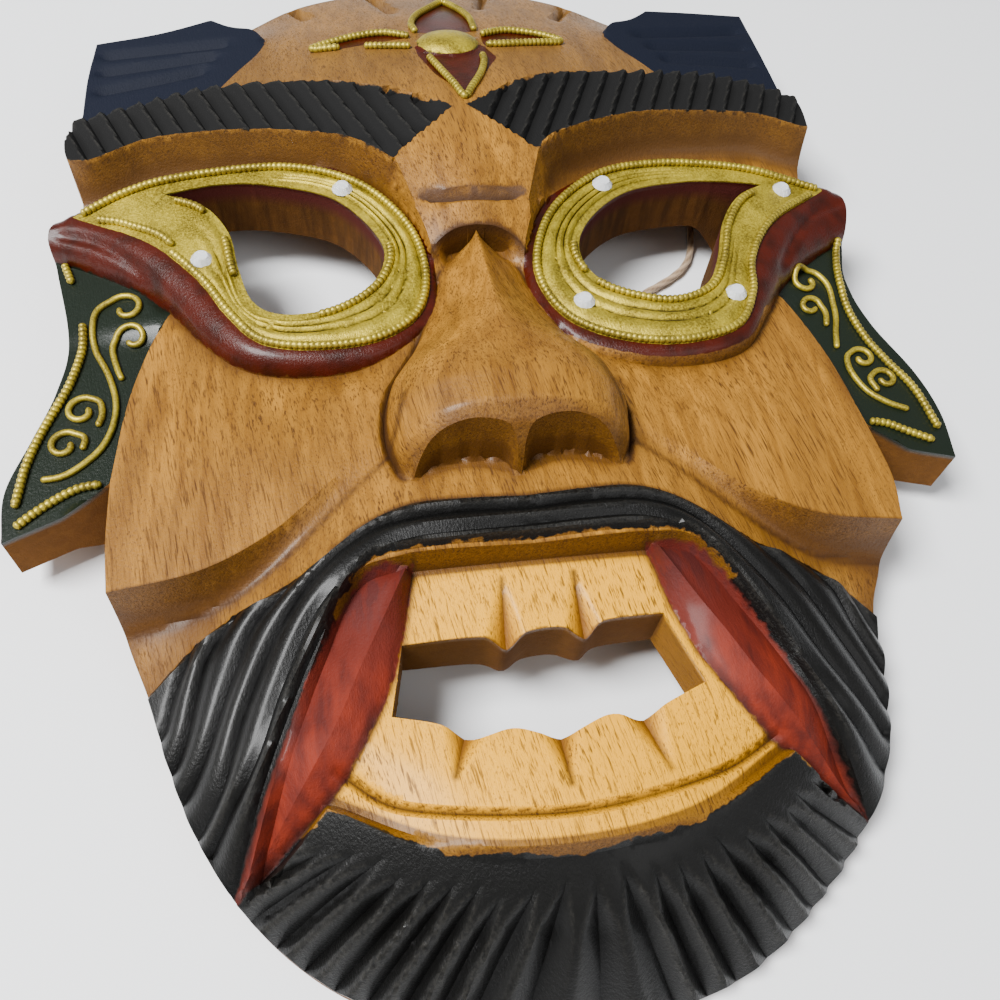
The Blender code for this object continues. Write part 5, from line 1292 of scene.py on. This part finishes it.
def mask_material():
    made, tree, shader = new_material("carved_wood")
    place = millimetres(tree)
    at = {name: add(tree, "Attribute", attribute_name=name).outputs["Fac"]
          for name in ("black", "blue", "green", "maroon", "gold", "red", "pale", "rim", "crease_shade", "cavity",
                       "fine", "end", "level", "notch", "scoop")}
    split = add(tree, "SeparateXYZ", {0: place}).outputs

    def part(value, *ends):
        return spread(tree, value, *ends)

    def both(a, b):
        return reckon(tree, "MULTIPLY", a, b)

    def tint(share, low, high):
        return blend(tree, share, low, high)

    def noise(stretch, *settings):
        return speckle(tree, place, stretch, *settings)

    def over(cover, below, value):
        return reckon(tree, "ADD", both(reckon(tree, "SUBTRACT", 1.0, cover), below), both(cover, value))

    # Bare wood: golden brown, with long dark pores, and painted shade darkening the hollows
    leaning = add(tree, "VectorRotate", {"Vector": place, "Angle": -0.16}, rotation_type="Z_AXIS").outputs[0]
    broad = noise((1, 0.22, 1), 0.045, 3.0, 1.5)
    bands = noise((1, 0.10, 1), 0.42, 4.0, 0.9)
    pores = speckle(tree, leaning, (1, 0.055, 1), 2.7, 2.0, 0.0, 0.6)
    specks = noise((1, 0.3, 1), 4.0, 2.0)
    thick = noise((1, 0.5, 1), 0.07, 3.0)
    wood = tint(part(broad, 0.35, 0.68), TONES["light wood"], TONES["dark wood"])
    wood = tint(part(bands, 0.40, 0.68, 0.0, 0.6), wood, TONES["wood band"])
    wood = tint(part(at["pale"], -0.3, 0.3, 0.0, 0.94), wood, TONES["pale teeth"])
    fuzz = noise((1, 1, 1), 1.6, 4.0, 0.0, 0.7)
    end_colour = tint(part(fuzz, 0.35, 0.7), TONES["dark end grain"], TONES["end grain"])
    wood = tint(part(at["end"], 0.36, 0.62, 0.0, 0.8), wood, end_colour)
    # Painted shade: a darker strip along the sunk edge of the mouth field, under the moustache and along the
    # lip's lower edge.
    foot = both(part(at["pale"], -0.4, 0.0), part(at["pale"], 3.0, 2.5, 0.0, 0.85))
    wood = tint(foot, wood, end_colour)
    pore = both(part(pores, 0.52, 0.66, 0.0, 0.9), part(thick, 0.30, 0.60, 0.45, 0.95))
    wood = tint(pore, wood, TONES["pore"])
    speck = both(part(specks, 0.58, 0.70), part(thick, 0.62, 0.42, 0.1, 0.7))
    wood = tint(speck, wood, TONES["speck"])
    # Painted shade: the wood darker in the hollows of the carving.
    hollow_shade = part(at["cavity"], 0.15, 1.6, 0.0, 0.8)
    wood = tint(hollow_shade, wood, TONES["hollow_shade"])
    # Painted shade: dark lines along the carved creases, where shadow falls in them.
    line = both(part(at["crease_shade"], 1.1, 0.0), part(thick, 0.25, 0.5, 0.5, 0.9))
    wood = tint(line, wood, TONES["crease_shade"])
    # Painted shade on the upper wall of each frown groove.
    frown_wall_shade = both(part(at["notch"], 1.4, 0.9, 0.0, 0.85), part(fuzz, 0.3, 0.6, 0.6, 1.0))
    wood = tint(frown_wall_shade, wood, TONES["frown shade"])
    # Painted shade: brown in the notches between the teeth and in the lip.
    wood = tint(part(at["scoop"], 0.02, 0.6, 0.0, 0.75), wood, TONES["tooth notch shade"])
    # Painted shade: the wood darker towards the top of the crown, further from the light.
    crown_shade = part(split[1], 48.0, 78.0, 0.0, 0.5)
    wood = tint(crown_shade, wood, TONES["crown"])
    sawn = part(at["level"], 0.1, 0.9, 0.0, 0.85)
    streaked = noise((1, 1, 0.15), 0.5, 3.0)
    wood = tint(sawn, wood, tint(bands, TONES["light sawn wood"], TONES["dark sawn wood"]))
    # Painted shade: the sawn walls inside the eye holes made much darker.
    inner = both(part(at["rim"], 4.0, 2.0), part(streaked, 0.35, 0.6, 0.9, 0.4))
    wood = tint(both(inner, sawn), wood, TONES["eye hole"])
    roughness = reckon(tree, "MAXIMUM", part(pore, 0.0, 0.75, 0.46, 0.7),
                       reckon(tree, "MAXIMUM", part(sawn, 0.0, 0.85, 0.0, 0.9), both(line, 0.9)))
    gloss = both(part(sawn, 0.0, 0.85, 0.10, 0.0), part(pore, 0.0, 1.0, 1.0, 0.4))

    # Paints, in the order that they went on
    front = part(at["level"], 0.2, 1.0, 1.0, 0.0)

    def paint(distance, colour, rough, shine, wander, softness, past=0.0):
        nonlocal wood, roughness, gloss
        cover = use(tree, RAGGED_PAINT, Distance=reckon(tree, "ADD", distance, past), Wander=wander,
                    Softness=softness, Place=place)["Cover"]
        cover = both(cover, front)
        wood = tint(cover, wood, colour)
        roughness = over(cover, roughness, rough)
        gloss = over(cover, gloss, shine)
        return cover

    paint(at["blue"], TONES["blue"], 0.7, 0.0, 0.25, 0.25)
    matt = part(split[1], 10.0, 20.0)
    # Rubbed wear and painted highlight: the black lighter on the sharp crests of the strands.
    rubbed_and_highlit = both(part(at["fine"], -0.22, -0.06, 0.5, 0.0), part(fuzz, 0.4, 0.6))
    black = tint(matt, TONES["hair black"], TONES["brow black"])
    # Painted shade: the black darker in the hollows between the strands.
    black = tint(part(at["cavity"], 0.05, 0.7, 0.0, 0.8), black, TONES["shaded deep black"])
    black = tint(rubbed_and_highlit, black, TONES["rubbed and highlit black"])
    paint(at["black"], black, part(matt, 0.0, 1.0, 0.40, 0.8), part(matt, 0.0, 1.0, 0.12, 0.0), 0.45, 0.25)
    paint(at["green"], TONES["green"], 0.35, 0.25, 0.3, 0.2)
    reds = tint(part(noise((1, 1, 1), 0.2), 0.4, 0.7), TONES["maroon"], TONES["dark maroon"])
    paint(at["maroon"], reds, 0.30, 0.14, 0.15, 0.15)
    # Painted shade: the fine hollows of the gold bands, passed to the gold as its grooves.
    groove = part(at["fine"], 0.03, 0.22, 0.0, 0.9)
    gilt = use(tree, GILDING, Place=place, Groove=groove)
    gold = paint(at["gold"], gilt["Colour"], gilt["Roughness"], 0.0, 0.10, 0.12)
    streaks = noise((1, 0.3, 1), 0.35)
    fang_red = tint(part(streaks, 0.35, 0.7), TONES["fang red"], TONES["dark fang red"])
    stained = both(part(split[1], -78.0, -62.0, 0.0, 0.8), part(streaks, 0.62, 0.42))
    fang_red = tint(stained, fang_red, TONES["fang stain"])
    smoked = both(part(at["red"], 1.5, 0.0, 0.0, 0.7), part(split[1], -72.0, -84.0))
    fang_red = tint(smoked, fang_red, TONES["fang smoke"])
    paint(at["red"], fang_red, 0.62, 0.06, 0.35, 0.5, 0.3)
    lip = both(part(at["level"], 0.12, 0.3), part(at["level"], 2.0, 1.3))
    lip = both(lip, part(at["rim"], 0.5, 0.2))
    wood = tint(lip, wood, TONES["hole lip"])

    tree.links.new(wood, shader.inputs["Base Color"])
    tree.links.new(roughness, shader.inputs["Roughness"])
    tree.links.new(both(gold, 0.6), shader.inputs["Metallic"])
    tree.links.new(gloss, shader.inputs["Coat Weight"])
    shader.inputs["Coat Roughness"].default_value = 0.20
    shader.inputs["Specular IOR Level"].default_value = 0.17
    height = reckon(tree, "MULTIPLY_ADD", pores, -0.6, reckon(tree, "MULTIPLY_ADD", specks, -0.4, fuzz))
    bump = add(tree, "Bump", {"Height": height, "Strength": 0.6, "Distance": 0.00022})
    tree.links.new(bump.outputs["Normal"], shader.inputs["Normal"])
    return made


carved = mask_object()
carved.data.materials.append(mask_material())
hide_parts("mask")
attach(carved, "root")


# Gold threads
# Rolled threads of hardened paste laid on the carving: ribbed ones edge the eyes, the ears and the flower
# on the crown, and thin plain ones curl on the ears. They were pressed on and gilded with the bands.
ROPE_DIAMETER = 0.0019
FINE_THREAD = 0.0014
RIB_PITCH = 0.0012
LAID_STEP = 0.24
THREAD_LIFT = 0.62
STONE_DIAMETER = 0.0050
STONE_HEIGHT = 0.0013


def laid(surface, line, radius):
    """World points that lay a thread of some radius on the carving, along a drawn line."""
    p = curve(line, LAID_STEP)
    run = np.gradient(p, axis=0)
    run /= np.linalg.norm(run, axis=1)[:, None]
    aside = np.stack([-run[:, 1], run[:, 0]], axis=1) * 500 * radius
    heights = []
    for at in (p - aside, p, p + aside):
        hits = [surface.ray_cast((x / 1000, y / 1000, 0.1), (0, 0, -1))[0] for x, y in at]
        heights.append([hit.z if hit else 0.0 for hit in hits])
    top = np.max(heights, axis=0)
    padded = np.pad(top, 7, mode="edge")
    top = np.mean([padded[k:k + len(top)] for k in range(15)], axis=0)
    return np.column_stack([p / 1000, top + THREAD_LIFT * radius])


def stretch(loop, start, end):
    """The run of a closed loop between its points nearest to two others, in the loop's order."""
    first, last = (int(np.hypot(*(loop - np.array(p)).T).argmin()) for p in (start, end))
    if last < first:
        last += len(loop)
    return np.array([loop[k % len(loop)] for k in range(first, last + 1)])


def outer_rope(side):
    """The line of the rope round an eye, a radius in from the edge of the gold."""
    band = outline(EYES[side]["band"])
    inset = 500 * ROPE_DIAMETER
    line = shifted(band, -inset if side == "left" else inset, closed=True)
    line = line[inside(line[:, 0], line[:, 1], band) > 0.85 * inset]
    far = int(np.hypot(*(line - np.array(OUTER_ROPE_END[side])).T)[len(line) // 2:].argmin()) + len(line) // 2
    return line[:far:3]


def inner_ropes(side):
    """The lines of the broken rope round an eye hole, a little out from the hole."""
    hole = outline(EYES[side]["hole"])
    inset = 750 * ROPE_DIAMETER
    line = shifted(hole, inset if side == "left" else -inset, closed=True)
    return [stretch(line, *ends)[::3] for ends in INNER_ROPES[side]]


def scroll(centre, turn, tail):
    """A line that starts as a curl round its centre and leaves it along its tail."""
    away = np.array(tail[0]) - centre
    angle = math.atan2(away[1], away[0])
    radius = np.hypot(*away)
    share = np.linspace(1, 0, 16, endpoint=False)
    reach = radius + (CURL_END - radius) * share
    turned = angle + turn * share * CURL_TURN
    curl = np.stack([np.cos(turned), np.sin(turned)], axis=1) * reach[:, None] + centre
    return np.vstack([curl, curve(tail)])


def rounded(along, length, radius):
    """A thread's radius where it is closed round at its ends."""
    near = min(along, length - along) / radius
    return math.sqrt(max(1 - (1 - near) ** 2, 0.04)) if near < 1 else 1.0


def thread(name, line, diameter, ribbed):
    """One gold thread laid on the mask, ribbed across or plain."""
    radius = diameter / 2
    path = laid(carving, line, radius)
    length = float(np.linalg.norm(np.diff(path, axis=0), axis=1).sum())

    def notch(along):
        return abs(math.sin(math.pi * along / RIB_PITCH)) if ribbed else 1.0

    made = swept(name, path, 10,
                 lambda along, angle: radius * (0.76 + 0.24 * notch(along)) * rounded(along, length, radius),
                 lambda along, angle: 1 - notch(along))
    made.data.materials.append(gold_paste)
    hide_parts(name)
    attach(made, "root")
    made.name = "gold_" + name


def gold_material():
    made, tree, shader = new_material("gold_paste", Metallic=0.6)
    place = millimetres(tree)
    groove = add(tree, "Attribute", attribute_name="groove").outputs["Fac"]
    # Painted shade: the threads darker between their ribs.
    gilt = use(tree, GILDING, Place=place, Groove=spread(tree, groove, 0.45, 1.0, 0.0, 0.85))
    tree.links.new(gilt["Colour"], shader.inputs["Base Color"])
    tree.links.new(gilt["Roughness"], shader.inputs["Roughness"])
    bump = add(tree, "Bump", {"Height": gilt["Height"], "Strength": 0.3, "Distance": 0.0001})
    tree.links.new(bump.outputs["Normal"], shader.inputs["Normal"])
    return made


gold_paste = gold_material()
shell = bmesh.new()
shell.from_mesh(carved.data)
carving = BVHTree.FromBMesh(shell)
shell.free()
thread("rope_sweep_left", SWEEP_ROPE, ROPE_DIAMETER, True)
for side in ("left", "right"):
    thread("rope_outer_" + side, outer_rope(side), ROPE_DIAMETER, True)
    for number, line in enumerate(inner_ropes(side), 1):
        thread(f"rope_inner_{side}_{number}", line, ROPE_DIAMETER, True)
    for number, line in enumerate(EAR_ROPES[side], 1):
        thread(f"rope_ear_{side}_{number}", line, ROPE_DIAMETER, True)
    for number, (centre, turn, tail) in enumerate(EAR_SCROLLS[side], 1):
        thread(f"scroll_{side}_{number}", scroll(centre, turn, tail), FINE_THREAD, False)
for name, line in DIADEM.items():
    thread("rope_diadem_" + name, line, ROPE_DIAMETER, True)


# Glass stones
# Six small round stones of clear cut glass with flat backs, pressed into the soft gold of the bands.
STONE_TABLE = 0.60


def stone(name, x, y):
    bm = bmesh.new()
    bmesh.ops.create_cone(bm, cap_ends=True, segments=12, radius1=STONE_DIAMETER / 2,
                          radius2=STONE_DIAMETER * STONE_TABLE / 2, depth=STONE_HEIGHT)
    top = laid(carving, [(x - 1, y), (x, y), (x + 1, y)], STONE_DIAMETER / 2)[:, 2].mean()
    middle = top + STONE_HEIGHT / 2 - THREAD_LIFT / 2 * STONE_DIAMETER
    bmesh.ops.translate(bm, verts=bm.verts, vec=(x / 1000, y / 1000, middle))
    mesh = meshed(name, bm)
    mesh.materials.append(clear_glass)
    made = linked("glass_" + name, mesh)
    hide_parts(name)
    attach(made, "root")


clear_glass, _, _ = new_material("clear_glass", Base_Color=(0.95, 0.97, 1.0, 1), Roughness=0.10, Metallic=0.0,
                                 Transmission_Weight=0.45)
for side, middles in STONES.items():
    for number, (x, y) in enumerate(middles, 1):
        stone(f"stone_{side}_{number}", x, y)
